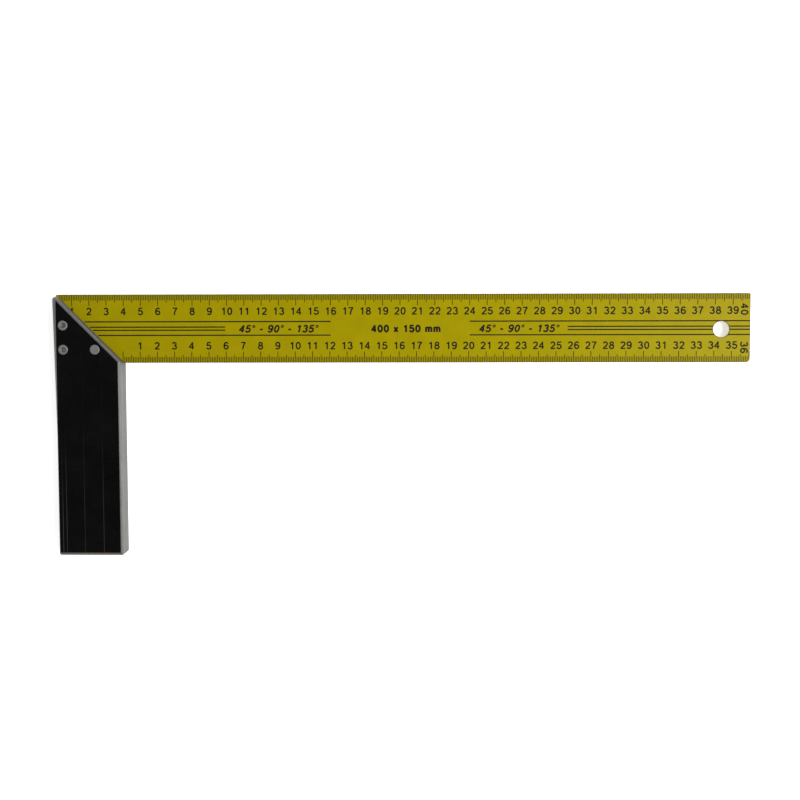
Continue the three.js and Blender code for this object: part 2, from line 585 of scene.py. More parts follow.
@dataclass(frozen=True)
class Finish:
    """Common ground of the finishes: a place in millimetres and one Principled BSDF.

    Attributes:
        datum: Where the square's millimetres lie.
        shelf: The shared effects.
    """

    datum: Datum
    shelf: EffectShelf

    def open(self, name: str) -> tuple[bpy.types.Material, Bench, bpy.types.NodeSocket]:
        """Start a material.

        Args:
            name: Name of the material.

        Returns:
            The material, its bench and the place on the square in millimetres.
        """
        material = bpy.data.materials.new(name)
        material.use_nodes = True
        bench = Bench(material.node_tree)
        coordinates = bench.add("ShaderNodeTexCoord")
        mapping = bench.add("ShaderNodeMapping", {"Vector": coordinates.outputs["Object"]})
        origin = self.datum.at(0.0, 0.0, 0.0) / MM
        mapping.inputs["Location"].default_value = -origin
        mapping.inputs["Scale"].default_value = (1 / MM, 1 / MM, 1 / MM)
        return material, bench, mapping.outputs[0]

    @staticmethod
    def close(bench: Bench, **feeds: Any) -> None:
        """Add the Principled BSDF and the output.

        Args:
            bench: The material's bench.
            **feeds: The shader's inputs, with underscores for spaces.
        """
        named = {name.replace("_", " "): value for name, value in feeds.items()}
        shader = bench.add("ShaderNodeBsdfPrincipled", named)
        bench.add("ShaderNodeOutputMaterial", {"Surface": shader})

    @staticmethod
    def bump(bench: Bench, height: Any, strength: float, distance: float) -> bpy.types.NodeSocket:
        """Normal from a height, with its full depth in millimetres."""
        feeds = {"Height": height, "Strength": strength, "Distance": distance * MM}
        return bench.add("ShaderNodeBump", feeds).outputs[0]


@dataclass(frozen=True)
class LacquerFinish(Finish):
    """Yellow lacquer on a steel blade, rubbed through and browned along its edges.

    Attributes:
        width: Width of the blade.
        length: Length of the blade from the scale's heel.
        hole: Place along and across, and radius, of the hanging hole.
        light: Lacquer where its clouds are lightest.
        dark: Lacquer where they are darkest.
        brown: Grime, and the darker brown along the edges.
        steel: Steel where the lacquer is rubbed through.
        grime_share: How far the grime browns the lacquer.
        stain_share: How far the edges are browned.
        steel_metallic: How metallic the bare steel is.
        roughness: Roughness of the darkest and the lightest lacquer.
        specular: Specular level of the lacquer.
    """

    width: float
    length: float
    hole: tuple[float, float, float]
    light: Color = (0.238, 0.194, 0.0009, 1.0)
    dark: Color = (0.202, 0.166, 0.0006, 1.0)
    brown: Color = (0.085, 0.066, 0.004, 1.0)
    steel: Color = (0.16, 0.15, 0.12, 1.0)
    grime_share: float = 0.12
    stain_share: float = 0.75
    steel_metallic: float = 0.6
    roughness: tuple[float, float] = (0.3, 0.24)
    specular: float = 0.022

    def edge_distance(self, bench: Bench, place: bpy.types.NodeSocket) -> bpy.types.NodeSocket:
        """Distance to the nearest edge of the blade or its hole.

        Args:
            bench: The material's bench.
            place: The place on the square.

        Returns:
            The distance, in millimetres.
        """
        along, across, _ = bench.axes(place)
        outer = bench.math("MULTIPLY", across, -1.0)
        inner = bench.math("ADD", across, self.width)
        tip = bench.math("SUBTRACT", self.length, along)
        hole_along, hole_across, radius = self.hole
        middle = bench.vector("DISTANCE", bench.flat(place), (hole_along, hole_across, 0.0))
        hole = bench.math("SUBTRACT", middle, radius)
        sides = bench.math("MINIMUM", outer, inner)
        return bench.math("MINIMUM", sides, bench.math("MINIMUM", tip, hole))

    def build(self) -> bpy.types.Material:
        """Build the material.

        Returns:
            The material.
        """
        material, bench, place = self.open("blade_lacquer_yellow")
        cloud = self.shelf.use(
            bench, Effect.MOTTLE, Place=place, Scale=0.09, Contrast=2.4, Dark=self.dark, Light=self.light
        )
        distance = self.edge_distance(bench, place)
        # Mask of the darker brown along the blade's edges and round its hole.
        edge_browned = self.shelf.use(
            bench, Effect.BROKEN_EDGE, Place=place, Distance=distance, Reach=0.42, Wander=0.5, Scale=0.35
        )
        bare = self.shelf.use(
            bench, Effect.BROKEN_EDGE, Place=place, Distance=distance, Reach=0.1, Wander=0.22, Scale=0.8
        )
        grime = self.shelf.use(bench, Effect.SMUDGE, Place=place, Scale=0.06, Cover=0.42)
        soiled = bench.math("MULTIPLY", grime.outputs["Mask"], self.grime_share)
        faded = bench.mix(soiled, cloud.outputs["Color"], self.brown)
        edged = bench.math("MULTIPLY", edge_browned.outputs["Mask"], self.stain_share)
        browned = bench.mix(edged, faded, self.brown)
        color = bench.mix(bare.outputs["Mask"], browned, self.steel)
        # The lacquer's skin waves gently, and steps down where the steel is bare.
        skin = bench.math("MULTIPLY", cloud.outputs["Height"], 0.5)
        step = bench.math("MULTIPLY", bare.outputs["Mask"], -0.5)
        normal = self.bump(bench, bench.math("ADD", skin, step), 0.35, 0.03)
        self.close(
            bench,
            Base_Color=color,
            Metallic=bench.math("MULTIPLY", bare.outputs["Mask"], self.steel_metallic),
            Roughness=bench.ramp(cloud.outputs["Share"], 0.0, 1.0, *self.roughness),
            Specular_IOR_Level=self.specular,
            Normal=normal,
        )
        return material


@dataclass(frozen=True)
class InkFinish(Finish):
    """Black printing ink, a little brown where it is thin.

    Attributes:
        full: Ink at its thickest.
        thin: Ink at its thinnest.
        roughness: Roughness of the thickest and the thinnest ink.
        specular: Specular level of the ink.
    """

    full: Color = (0.004, 0.0035, 0.002, 1.0)
    thin: Color = (0.012, 0.0095, 0.003, 1.0)
    roughness: tuple[float, float] = (0.5, 0.62)
    specular: float = 0.06

    def build(self) -> bpy.types.Material:
        """Build the material.

        Returns:
            The material.
        """
        material, bench, place = self.open("scale_ink_black")
        cloud = self.shelf.use(
            bench, Effect.MOTTLE, Place=place, Scale=0.5, Contrast=3.0, Dark=self.full, Light=self.thin
        )
        self.close(
            bench,
            Base_Color=cloud.outputs["Color"],
            Roughness=bench.ramp(cloud.outputs["Share"], 0.0, 1.0, *self.roughness),
            Specular_IOR_Level=self.specular,
            Normal=self.bump(bench, cloud.outputs["Height"], 0.3, 0.01),
        )
        return material


@dataclass(frozen=True)
class StockFinish(Finish):
    """Black anodised broad faces, and bare machined aluminium on the bevels and narrow sides.

    Attributes:
        stock: The stock, for the border of its broad faces.
        black: Anodising where it is whole.
        worn_black: Anodising where it is worn.
        bright: Metal where its clouds are lightest.
        dull: Metal where they are darkest, and along its drawn lines.
        stain: Dirt on the metal.
        ground: Ground metal on the outer strip, lighter than the rest and partly a painted highlight on that
            chamfer.
        rust: Brown at the sawn foot.
        streak: Lighter black along the die lines: anodising rubbed thin, and partly a painted highlight of
            the lines.
        blur: Width over which the black ends.
        dirt_share: How far the smudges darken the metal.
        rim_share: How far the dirt beside the black darkens it.
        rim_reach: How far from the black that dirt grows thinner.
        rim_left: How much of it is left beyond.
        fresh_strip: Where the lighter metal and its painted highlight start to fade and end, from the outer
            face inwards.
        fresh_share: How far they cover the older metal.
        heel_fade: Between which places across it grows weaker towards the heel.
        heel_share: How much of it is left at the heel.
        rust_offset: How far outside the black's border the brown line runs.
        rust_strip: Where the brown starts to fade and ends, from its middle.
        rust_end: How far before the inner bevel it starts to fade.
        rust_share: How far it covers the metal.
        streak_reach: Where a die line's streak starts to fade and ends, in shares of the line's width.
        wear_run: Where the streaks begin and are full, in shares of the stock's length.
        least_wear: How much of them there is before.
        skin_depth: Depth at which the black ends, below the die lines' floors.
        metal_roughness: Roughness of the metal between and along its drawn lines.
        black_roughness: Roughness of the whole and the worn anodising.
        specular: Specular level of both.
    """

    stock: Stock
    black: Color = (0.0012, 0.0012, 0.0013, 1.0)
    worn_black: Color = (0.0038, 0.0038, 0.0041, 1.0)
    bright: Color = (0.196, 0.197, 0.191, 1.0)
    dull: Color = (0.127, 0.128, 0.124, 1.0)
    stain: Color = (0.045, 0.041, 0.035, 1.0)
    # Light grey of the ground outer strip, partly a painted highlight on that chamfer.
    ground: Color = (0.35, 0.35, 0.34, 1.0)
    rust: Color = (0.16, 0.085, 0.045, 1.0)
    # Lighter black of the die lines, partly a painted highlight.
    streak: Color = (0.026, 0.027, 0.030, 1.0)
    blur: float = 0.12
    dirt_share: float = 0.6
    rim_share: float = 0.72
    rim_reach: float = 1.3
    rim_left: float = 0.15
    fresh_strip: tuple[float, float] = (0.5, 1.3)
    fresh_share: float = 0.65
    heel_fade: tuple[float, float] = (-60.0, -10.0)
    heel_share: float = 0.3
    rust_offset: float = 0.1
    rust_strip: tuple[float, float] = (0.08, 0.3)
    rust_end: float = 0.3
    rust_share: float = 0.75
    streak_reach: tuple[float, float] = (0.3, 0.7)
    wear_run: tuple[float, float] = (0.45, 0.95)
    least_wear: float = 0.05
    skin_depth: tuple[float, float] = (0.25, 0.35)
    metal_roughness: tuple[float, float] = (0.48, 0.62)
    black_roughness: tuple[float, float] = (0.42, 0.5)
    specular: float = 0.01

    def depth(self, bench: Bench, place: bpy.types.NodeSocket) -> bpy.types.NodeSocket:
        """Depth below the nearer broad face."""
        up = bench.axes(place)[-1]
        return bench.math("SUBTRACT", self.stock.thickness / 2, bench.math("ABSOLUTE", up))

    def face_distance(self, bench: Bench, place: bpy.types.NodeSocket) -> bpy.types.NodeSocket:
        """Distance inside the border of the black face.

        Args:
            bench: The material's bench.
            place: The place on the square.

        Returns:
            The distance, in millimetres, negative outside the border.
        """
        stock, inset = self.stock, self.stock.face
        along, across, _ = bench.axes(place)
        inner = bench.math("SUBTRACT", stock.inner_x - inset.inner, along)
        foot = bench.math("ADD", across, stock.length - inset.foot)
        to_mitre = bench.math("SUBTRACT", stock.mitre_step, bench.math("ADD", along, across))
        mitre = bench.math("SUBTRACT", bench.math("DIVIDE", to_mitre, math.sqrt(2)), inset.mitre)
        outer = bench.math("SUBTRACT", along, stock.outer_x + inset.outer)
        heel_x = stock.heel_x + inset.heel
        lean = (heel_x - stock.outer_x - inset.outer) / stock.taper_length
        ground = bench.math("SUBTRACT", along, bench.math("MULTIPLY_ADD", across, lean, heel_x))
        ends = bench.math("MINIMUM", foot, mitre)
        sides = bench.math("MINIMUM", inner, bench.math("MINIMUM", outer, ground))
        return bench.math("MINIMUM", ends, sides)

    def streaks(self, bench: Bench, place: bpy.types.NodeSocket) -> bpy.types.NodeSocket:
        """Share of lighter black along the die lines, rubbed thin and partly a painted highlight, most of it
        near the foot.

        Args:
            bench: The material's bench.
            place: The place on the square.

        Returns:
            The share.
        """
        along, across, _ = bench.axes(place)
        lines: bpy.types.NodeSocket | float = 0.0
        for middle, width, _ in self.stock.die_lines:
            away = bench.math("ABSOLUTE", bench.math("SUBTRACT", along, middle))
            start, end = (width * share for share in self.streak_reach)
            lines = bench.math("MAXIMUM", bench.ramp(away, start, end, 1.0, 0.0), lines)
        start, end = (-self.stock.length * share for share in self.wear_run)
        return bench.math("MULTIPLY", lines, bench.ramp(across, start, end, self.least_wear, 1.0))

    def fresh_ground(self, bench: Bench, place: bpy.types.NodeSocket) -> bpy.types.NodeSocket:
        """Share of lighter metal on the ground outer face, partly a painted highlight on that chamfer, less
        of it near the heel.

        Args:
            bench: The material's bench.
            place: The place on the square.

        Returns:
            The share.
        """
        along, across, _ = bench.axes(place)
        start, end = (self.stock.outer_x + step for step in self.fresh_strip)
        strip = bench.ramp(along, start, end, self.fresh_share, 0.0)
        return bench.math("MULTIPLY", strip, bench.ramp(across, *self.heel_fade, 1.0, self.heel_share))

    def foot_rust(self, bench: Bench, place: bpy.types.NodeSocket) -> bpy.types.NodeSocket:
        """Share of brown along the sawn foot's end of the black.

        Args:
            bench: The material's bench.
            place: The place on the square.

        Returns:
            The share.
        """
        stock = self.stock
        along, across, _ = bench.axes(place)
        middle = stock.face.foot - stock.length - self.rust_offset
        beyond = bench.math("ABSOLUTE", bench.math("SUBTRACT", across, middle))
        strip = bench.ramp(beyond, *self.rust_strip, self.rust_share, 0.0)
        inner = stock.inner_x - stock.face.inner
        return bench.math("MULTIPLY", strip, bench.ramp(along, inner - self.rust_end, inner, 1.0, 0.0))

    def build(self) -> bpy.types.Material:
        """Build the material.

        Returns:
            The material.
        """
        material, bench, place = self.open("stock_black_and_bare")
        shelf = self.shelf
        inside = self.face_distance(bench, place)
        outside = bench.math("MULTIPLY", inside, -1.0)
        beyond = bench.math("ADD", outside, self.blur)
        coated = shelf.use(
            bench, Effect.BROKEN_EDGE, Place=place, Distance=beyond, Reach=self.blur, Wander=0.22, Scale=0.9
        )
        clouds = shelf.use(
            bench,
            Effect.MOTTLE,
            Place=place,
            Scale=0.07,
            Contrast=2.0,
            Dark=self.black,
            Light=self.worn_black,
        )
        drawn = shelf.use(bench, Effect.GRAIN, Place=place, Stretch=(1.0, 0.02, 1.0), Scale=0.8)
        metal = shelf.use(
            bench, Effect.MOTTLE, Place=place, Scale=0.05, Contrast=1.8, Dark=self.dull, Light=self.bright
        )
        smudges = shelf.use(bench, Effect.SMUDGE, Place=place, Scale=0.16, Cover=0.4)
        grain = drawn.outputs["Value"]
        streaked = bench.mix(bench.ramp(grain, 0.35, 0.7, 0.0, 0.35), metal.outputs["Color"], self.dull)
        rim = bench.ramp(outside, 0.0, self.rim_reach, 1.0, self.rim_left)
        smudged = bench.math("MULTIPLY", smudges.outputs["Mask"], self.dirt_share)
        dirty = bench.mix(smudged, streaked, self.stain)
        bare = bench.mix(bench.math("MULTIPLY", rim, self.rim_share), dirty, self.stain)
        # The outer strip is lightened: ground metal, and partly a painted highlight on that chamfer.
        ground_and_highlit = bench.mix(self.fresh_ground(bench, place), bare, self.ground)
        soiled = bench.mix(self.foot_rust(bench, place), ground_and_highlit, self.rust)
        # Lighter streaks along the die lines: anodising rubbed thin, and partly a painted highlight of the
        # lines.
        broken = bench.ramp(grain, 0.35, 0.6, 0.3, 1.0)
        rubbed = bench.math("MULTIPLY", self.streaks(bench, place), broken)
        black = bench.mix(rubbed, clouds.outputs["Color"], self.streak)
        # The black is a skin on the broad faces, so the walls of the slot and the rivet holes are bare.
        skin = bench.ramp(self.depth(bench, place), *self.skin_depth, 1.0, 0.0)
        mask = bench.math("MULTIPLY", coated.outputs["Mask"], skin)
        color = bench.mix(mask, soiled, black)
        metal_roughness = bench.ramp(grain, 0.3, 0.7, *self.metal_roughness)
        black_roughness = bench.ramp(clouds.outputs["Share"], 0.0, 1.0, *self.black_roughness)
        feeds = {0: mask, 2: metal_roughness, 3: black_roughness}
        roughness = bench.add("ShaderNodeMix", feeds, data_type="FLOAT")
        fine = bench.math("MULTIPLY", clouds.outputs["Height"], 0.6)
        height = bench.math("ADD", drawn.outputs["Height"], fine)
        self.close(
            bench,
            Base_Color=color,
            Metallic=bench.ramp(mask, 0.0, 1.0, 0.7, 0.0),
            Roughness=roughness,
            Specular_IOR_Level=self.specular,
            Normal=self.bump(bench, height, 0.25, 0.02),
        )
        return material


@dataclass(frozen=True)
class RivetFinish(Finish):
    """Aluminium pin ground flush, with turned marks round its middle.

    Attributes:
        along: Place of the pin along the blade.
        across: Place of the pin across it.
        radius: Radius of the pin.
        name: Name of the material.
        dulling: Share of darkening on the middle of its ends.
        bright: Metal where its clouds are lightest.
        dull: Metal where they are darkest.
        stain: Colour of the darker middle of its ends, and dirt in the joint round the pin.
        dirt_share: How far the smudges darken the metal.
        rim_share: How far the joint darkens it.
        oxide: Where the darkening ends and where it is full, in shares of the radius.
        roughness: Roughness between and along the turned marks.
    """

    along: float
    across: float
    radius: float
    name: str
    dulling: float
    bright: Color = (0.20, 0.20, 0.192, 1.0)
    dull: Color = (0.13, 0.13, 0.123, 1.0)
    stain: Color = (0.05, 0.048, 0.042, 1.0)
    dirt_share: float = 0.4
    rim_share: float = 0.5
    oxide: tuple[float, float] = (0.66, 0.5)
    roughness: tuple[float, float] = (0.46, 0.6)

    def build(self) -> bpy.types.Material:
        """Build the material.

        Returns:
            The material.
        """
        material, bench, place = self.open(self.name)
        shelf = self.shelf
        outward = bench.vector("DISTANCE", bench.flat(place), (self.along, self.across, 0.0))
        metal = shelf.use(
            bench, Effect.MOTTLE, Place=place, Scale=0.5, Contrast=2.2, Dark=self.dull, Light=self.bright
        )
        rim = shelf.use(
            bench,
            Effect.BROKEN_EDGE,
            Place=place,
            Distance=bench.math("SUBTRACT", self.radius, outward),
            Reach=0.1,
            Wander=0.12,
            Scale=0.9,
        )
        ground = shelf.use(bench, Effect.GRAIN, Place=place, Stretch=(0.12, 1.0, 1.0), Scale=2.6)
        marks = shelf.use(bench, Effect.SMUDGE, Place=place, Scale=0.7, Cover=0.4)
        smudged = bench.math("MULTIPLY", marks.outputs["Mask"], self.dirt_share)
        dirty = bench.mix(smudged, metal.outputs["Color"], self.stain)
        # The middle of each end is made darker, by a share set for each rivet.
        start, full = (self.radius * share for share in self.oxide)
        middle_darkened = bench.mix(bench.ramp(outward, start, full, 0.0, self.dulling), dirty, self.stain)
        color = bench.mix(bench.math("MULTIPLY", rim.outputs["Mask"], self.rim_share), middle_darkened, self.stain)
        self.close(
            bench,
            Base_Color=color,
            Metallic=bench.ramp(rim.outputs["Mask"], 0.0, 1.0, 0.75, 0.6),
            Roughness=bench.ramp(ground.outputs["Value"], 0.3, 0.7, *self.roughness),
            Normal=self.bump(bench, ground.outputs["Height"], 0.3, 0.02),
        )
        return material


# --------------------------------------------------------------------------------------------------
# Geometry Nodes


class Recipes:
    """Geometry Nodes trees that repeat or shape the small parts of the square.

    Attributes:
        DIVISIONS: After how many divisions a longer and the longest line come.
        FILL_RINGS: Rings of faces across a pin's end.
        BOWL_FLOOR: Flat floor of the punched bowl, in shares of its radius.
        BUTTON_TOP: Flat top of the button, in shares of its radius.
        PIN_FACE: Flat face of the pin's end, in shares of its radius.
    """

    DIVISIONS = (5.0, 10.0)
    FILL_RINGS = 16
    BOWL_FLOOR = 0.35
    BUTTON_TOP = 0.3
    PIN_FACE = 0.9

    @staticmethod
    def run(
        source: bpy.types.Object, tree: bpy.types.NodeTree, values: Mapping[str, Any]
    ) -> bpy.types.Object:
        """Run a tree on an object and keep the plain mesh it gives.

        Args:
            source: The object that carries the tree. It is removed.
            tree: The tree.
            values: Its inputs by name.

        Returns:
            The plain piece, under the source's name.
        """
        name = source.name
        source.name = f"{name}_source"
        modifier = source.modifiers.new(tree.name, "NODES")
        modifier.node_group = tree
        for item in tree.interface.items_tree:
            if item.item_type == "SOCKET" and item.in_out == "INPUT" and item.name in values:
                modifier[item.identifier] = values[item.name]
        return Shaper.bake(source, name)

    @staticmethod
    def open(name: str, takes: Iterable[Port]) -> tuple[Bench, bpy.types.Node, bpy.types.Node]:
        """Start a geometry tree with a mesh and a material input."""
        ports = (Port("Geometry", "NodeSocketGeometry"), Port("Finish", "NodeSocketMaterial"), *takes)
        return open_group(name, "GeometryNodeTree", ports, (Port("Geometry", "NodeSocketGeometry"),))

    @staticmethod
    def close(bench: Bench, result: bpy.types.Node, geometry: Any, finish: Any) -> bpy.types.NodeTree:
        """End a tree in Realize Instances and Set Material.

        Args:
            bench: The tree's bench.
            result: Its output node.
            geometry: What it has made.
            finish: The material socket.

        Returns:
            The tree.
        """
        real = bench.add("GeometryNodeRealizeInstances", {0: geometry})
        dressed = bench.add("GeometryNodeSetMaterial", {"Geometry": real, "Material": finish})
        bench.feed(result.inputs[0], dressed)
        return bench.tree

    @classmethod
    def graduations(cls) -> bpy.types.NodeTree:
        """Tree that prints the division lines of one scale.

        Returns:
            The tree.
        """
        bench, source, result = cls.open(
            "graduations",
            (
                Port("Count", "NodeSocketInt"),
                Port("First", "NodeSocketInt"),
                *numbers("Pitch", "Zero", "Edge", "Surface", "Inward"),
                *numbers("Short", "Middle", "Long", "Width", "Thickness"),
            ),
        )
        take = source.outputs
        place = bench.math("ADD", bench.add("GeometryNodeInputIndex"), take["First"])
        fifth, tenth = (
            bench.math("COMPARE", bench.math("MODULO", place, every), 0.0, 0.5) for every in cls.DIVISIONS
        )
        fifth_more = bench.math("MULTIPLY", fifth, bench.math("SUBTRACT", take["Middle"], take["Short"]))
        tenth_more = bench.math("MULTIPLY", tenth, bench.math("SUBTRACT", take["Long"], take["Middle"]))
        length = bench.math("ADD", take["Short"], bench.math("ADD", fifth_more, tenth_more))
        along = bench.math("ADD", take["Zero"], bench.math("MULTIPLY", place, take["Pitch"]))
        half = bench.math("MULTIPLY", bench.math("MULTIPLY", length, 0.5), take["Inward"])
        across = bench.math("ADD", take["Edge"], half)
        spot = bench.add("ShaderNodeCombineXYZ", {"X": along, "Y": across, "Z": take["Surface"]})
        row = bench.add("GeometryNodeMeshLine", {"Count": take["Count"]})
        placed = bench.add("GeometryNodeSetPosition", {"Geometry": row, "Position": spot})
        size = bench.add("ShaderNodeCombineXYZ", {"X": take["Width"], "Y": length, "Z": take["Thickness"]})
        cube = bench.add("GeometryNodeMeshCube")
        lines = bench.add("GeometryNodeInstanceOnPoints", {"Points": placed, "Instance": cube, "Scale": size})
        return cls.close(bench, result, lines, take["Finish"])

    @classmethod
    def figures(cls) -> bpy.types.NodeTree:
        """Tree that prints figures, picked and turned by attributes of the points it is given.

        Returns:
            The tree.
        """
        bench, source, result = cls.open(
            "figures", (Port("Type", "NodeSocketCollection"), *numbers("Height", "Flip"))
        )
        take = source.outputs
        case = bench.add(
            "GeometryNodeCollectionInfo",
            {"Collection": take["Type"], "Separate Children": True, "Reset Children": True},
        )
        pick = bench.add("GeometryNodeInputNamedAttribute", {"Name": Lettering.PICK}, data_type="INT")
        turn = bench.add("GeometryNodeInputNamedAttribute", {"Name": Lettering.TURN}, data_type="FLOAT")
        angles = bench.add("ShaderNodeCombineXYZ", {"Y": take["Flip"], "Z": turn.outputs["Attribute"]})
        turned = bench.add("FunctionNodeEulerToRotation", {0: angles})
        shapes = bench.add(
            "GeometryNodeInstanceOnPoints",
            {
                "Points": take["Geometry"],
                "Instance": case,
                "Pick Instance": True,
                "Instance Index": pick.outputs["Attribute"],
                "Rotation": turned,
                "Scale": take["Height"],
            },
        )
        return cls.close(bench, result, shapes, take["Finish"])

    @classmethod
    def rivet(cls) -> bpy.types.NodeTree:
        """Tree that makes a pin with a softened rim and a bowl sunk into each end.

        Returns:
            The tree.
        """
        bench, source, result = cls.open(
            "rivet",
            (
                *vectors("Middle", "Bowl Offset"),
                *numbers("Radius", "Length", "Edge Break"),
                *numbers("Bowl Radius", "Bowl Depth", "Button Radius", "Button Height"),
            ),
        )
        take = source.outputs
        pin = bench.add(
            "GeometryNodeMeshCylinder",
            {
                "Vertices": RIVET_SIDES,
                "Side Segments": 1,
                "Fill Segments": cls.FILL_RINGS,
                "Radius": take["Radius"],
                "Depth": take["Length"],
            },
            fill_type="TRIANGLE_FAN",
        )
        place = bench.add("GeometryNodeInputPosition")
        flat = bench.flat(place)
        outward = bench.math("DIVIDE", bench.vector("LENGTH", flat), take["Radius"])
        from_bowl = bench.vector("DISTANCE", flat, take["Bowl Offset"])
        in_bowl = bench.math("DIVIDE", from_bowl, take["Bowl Radius"])
        bowl = bench.math("MULTIPLY", bench.ramp(in_bowl, cls.BOWL_FLOOR, 1.0, 1.0, 0.0), take["Bowl Depth"])
        in_button = bench.math("DIVIDE", from_bowl, take["Button Radius"])
        raised = bench.ramp(in_button, cls.BUTTON_TOP, 1.0, 1.0, 0.0)
        button = bench.math("MULTIPLY", raised, take["Button Height"])
        rim = bench.math("MULTIPLY", bench.ramp(outward, cls.PIN_FACE, 1.0), take["Edge Break"])
        sunk = bench.math("ADD", rim, bench.math("SUBTRACT", bowl, button))
        inward = bench.math("MULTIPLY", bench.math("SIGN", bench.axes(place)[-1]), -1.0)
        lowered = bench.math("MULTIPLY", sunk, inward)
        shift = bench.add("ShaderNodeCombineXYZ", {"Z": lowered})
        shaped = bench.add("GeometryNodeSetPosition", {"Geometry": pin, "Offset": shift})
        set_down = bench.add("GeometryNodeTransform", {"Geometry": shaped, "Translation": take["Middle"]})
        return cls.close(bench, result, set_down, take["Finish"])


# --------------------------------------------------------------------------------------------------
# Blade


@dataclass(frozen=True)
class Blade:
    """The lacquered steel blade, with its hanging hole and the holes of its rivets.

    Attributes:
        shaper: Makes the pieces.
        scale_length: Length of the outer scale, from its heel to the blade's tip.
        width: Width.
        thickness: Thickness.
        tip_outer_radius: Rounding of the tip on the outer side, and of the heel on the inner side.
        tip_inner_radius: Rounding of the tip on the inner side.
        heel_radius: Rounding of the heel on the outer side.
        heel_outer_x: Where the heel's end starts along the outer edge.
        heel_inner_x: Where it ends along the inner edge.
        hole_radius: Radius of the hanging hole.
        hole_from_tip: From the tip to the hole's middle.
        hole_from_edge: From the outer edge to the hole's middle.
        edge_round: Rounding of the long edges and the hole's edge.
        least_radius: Smallest rounding a corner keeps when the outline moves in.
    """

    shaper: Shaper
    scale_length: float = 400.0
    width: float = 39.5
    thickness: float = 1.2
    tip_outer_radius: float = 1.0
    tip_inner_radius: float = 2.0
    heel_radius: float = 1.2
    heel_outer_x: float = 0.55
    heel_inner_x: float = 1.290625
    hole_radius: float = 4.6
    hole_from_tip: float = 16.5
    hole_from_edge: float = 20.6
    edge_round: float = 0.12
    least_radius: float = 0.05

    @property
    def hole(self) -> tuple[float, float, float]:
        """Place along and across, and radius, of the hanging hole."""
        return self.scale_length - self.hole_from_tip, -self.hole_from_edge, self.hole_radius

    def outline(self, inset: float) -> list[Vector]:
        """Outline of the blade, moved in by an inset.

        Args:
            inset: How far it moves in.

        Returns:
            The points of the outline, anticlockwise.
        """
        def rounding(radius: float) -> float:
            """A corner's radius when the outline has moved in."""
            return max(radius - inset, self.least_radius)

        return rounded_outline([
            Corner(self.heel_inner_x + inset, inset - self.width, rounding(self.tip_outer_radius)),
            Corner(self.scale_length - inset, inset - self.width, rounding(self.tip_inner_radius)),
            Corner(self.scale_length - inset, -inset, rounding(self.tip_outer_radius)),
            Corner(self.heel_outer_x + inset, -inset, rounding(self.heel_radius)),
        ])

    def rings(self) -> list[Ring]:
        """Levels of the blade, with both of its long edges softened.

        Returns:
            The levels, from the lowest up.
        """
        half, soft = self.thickness / 2, self.edge_round
        # Middle of the quarter round, and a last level that keeps the face flat beside it.
        turn, flat = 0.29 * soft, 4 * soft
        rise = [(0.0, half - soft), (turn, half - turn), (soft, half), (flat, half)]
        upper = [Ring(self.outline(inset), height) for inset, height in rise]
        lower = [Ring(self.outline(inset), -height) for inset, height in reversed(rise)]
        return lower + upper

    def holes(self, form: bmesh.types.BMesh, spots: Sequence[RivetSpot]) -> None:
        """Add the cutters of the hanging hole, with its edges broken, and of the rivet holes.

        Args:
            form: The mesh to add to.
            spots: Where the rivets pass.
        """
        half, soft = self.thickness / 2, self.edge_round
        along, across, radius = self.hole
        wide = radius + soft
        profile = [(wide, half + CUT_OVERRUN), (wide, half), (radius, half - soft)]
        turned = [(size, -level) for size, level in profile] + profile[::-1]
        Shaper.loft(form, [Ring(circle(along, across, size), level) for size, level in turned])
        for spot in spots:
            Shaper.drill(form, spot.hole, half + CUT_OVERRUN)

    def build(self, spots: Sequence[RivetSpot], finish: bpy.types.Material) -> None:
        """Make the blade.

        Args:
            spots: Where the rivets pass.
            finish: Its lacquer.
        """
        plate = self.shaper.piece("blade_plate", lambda form: Shaper.loft(form, self.rings()))
        drills = self.shaper.piece("blade_drills", lambda form: self.holes(form, spots))
        plate = self.shaper.cut(plate, [drills])
        self.shaper.soften(plate)
        dress(plate, finish, Slot.BLADE, "blade")


# --------------------------------------------------------------------------------------------------
# Print on the blade


# Widths of the broad and the thin pen, in shares of the figure's height.
PEN = 0.195
THIN_PEN = 0.175

WHOLE_TURN = 360.0
# Turn of each chord of a bow, in degrees, and the fewest chords a bow has.
BOW_STEP = 15.0
LEAST_CHORDS = 3


@dataclass(frozen=True)
class Stroke:
    """One pull of the pen, in shares of the figure's height.

    Attributes:
        points: Its centre line.
        closed: Whether it runs back into its start.
        pen: Width of the pen.
    """

    points: tuple[tuple[float, float], ...]
    closed: bool = False
    pen: float = PEN


def bar(*points: tuple[float, float], pen: float = PEN) -> Stroke:
    """A stroke of straight pulls."""
    return Stroke(points, pen=pen)


def bow(
    x: float, y: float, wide: float, tall: float, start: float, end: float, pen: float = PEN
) -> Stroke:
    """A stroke along part of an ellipse.

    Args:
        x: Middle of the ellipse.
        y: Middle of the ellipse.
        wide: Half width.
        tall: Half height.
        start: First angle, in degrees.
        end: Last angle.
        pen: Width of the pen.

    Returns:
        The stroke, closed when the angles are a whole turn apart.
    """
    sweep = end - start
    closed = abs(sweep) >= WHOLE_TURN
    steps = max(LEAST_CHORDS, round(abs(sweep) / BOW_STEP))
    angles = [math.radians(start + sweep * i / steps) for i in range(steps + (not closed))]
    points = tuple((x + wide * math.cos(a), y + tall * math.sin(a)) for a in angles)
    return Stroke(points, closed, pen)


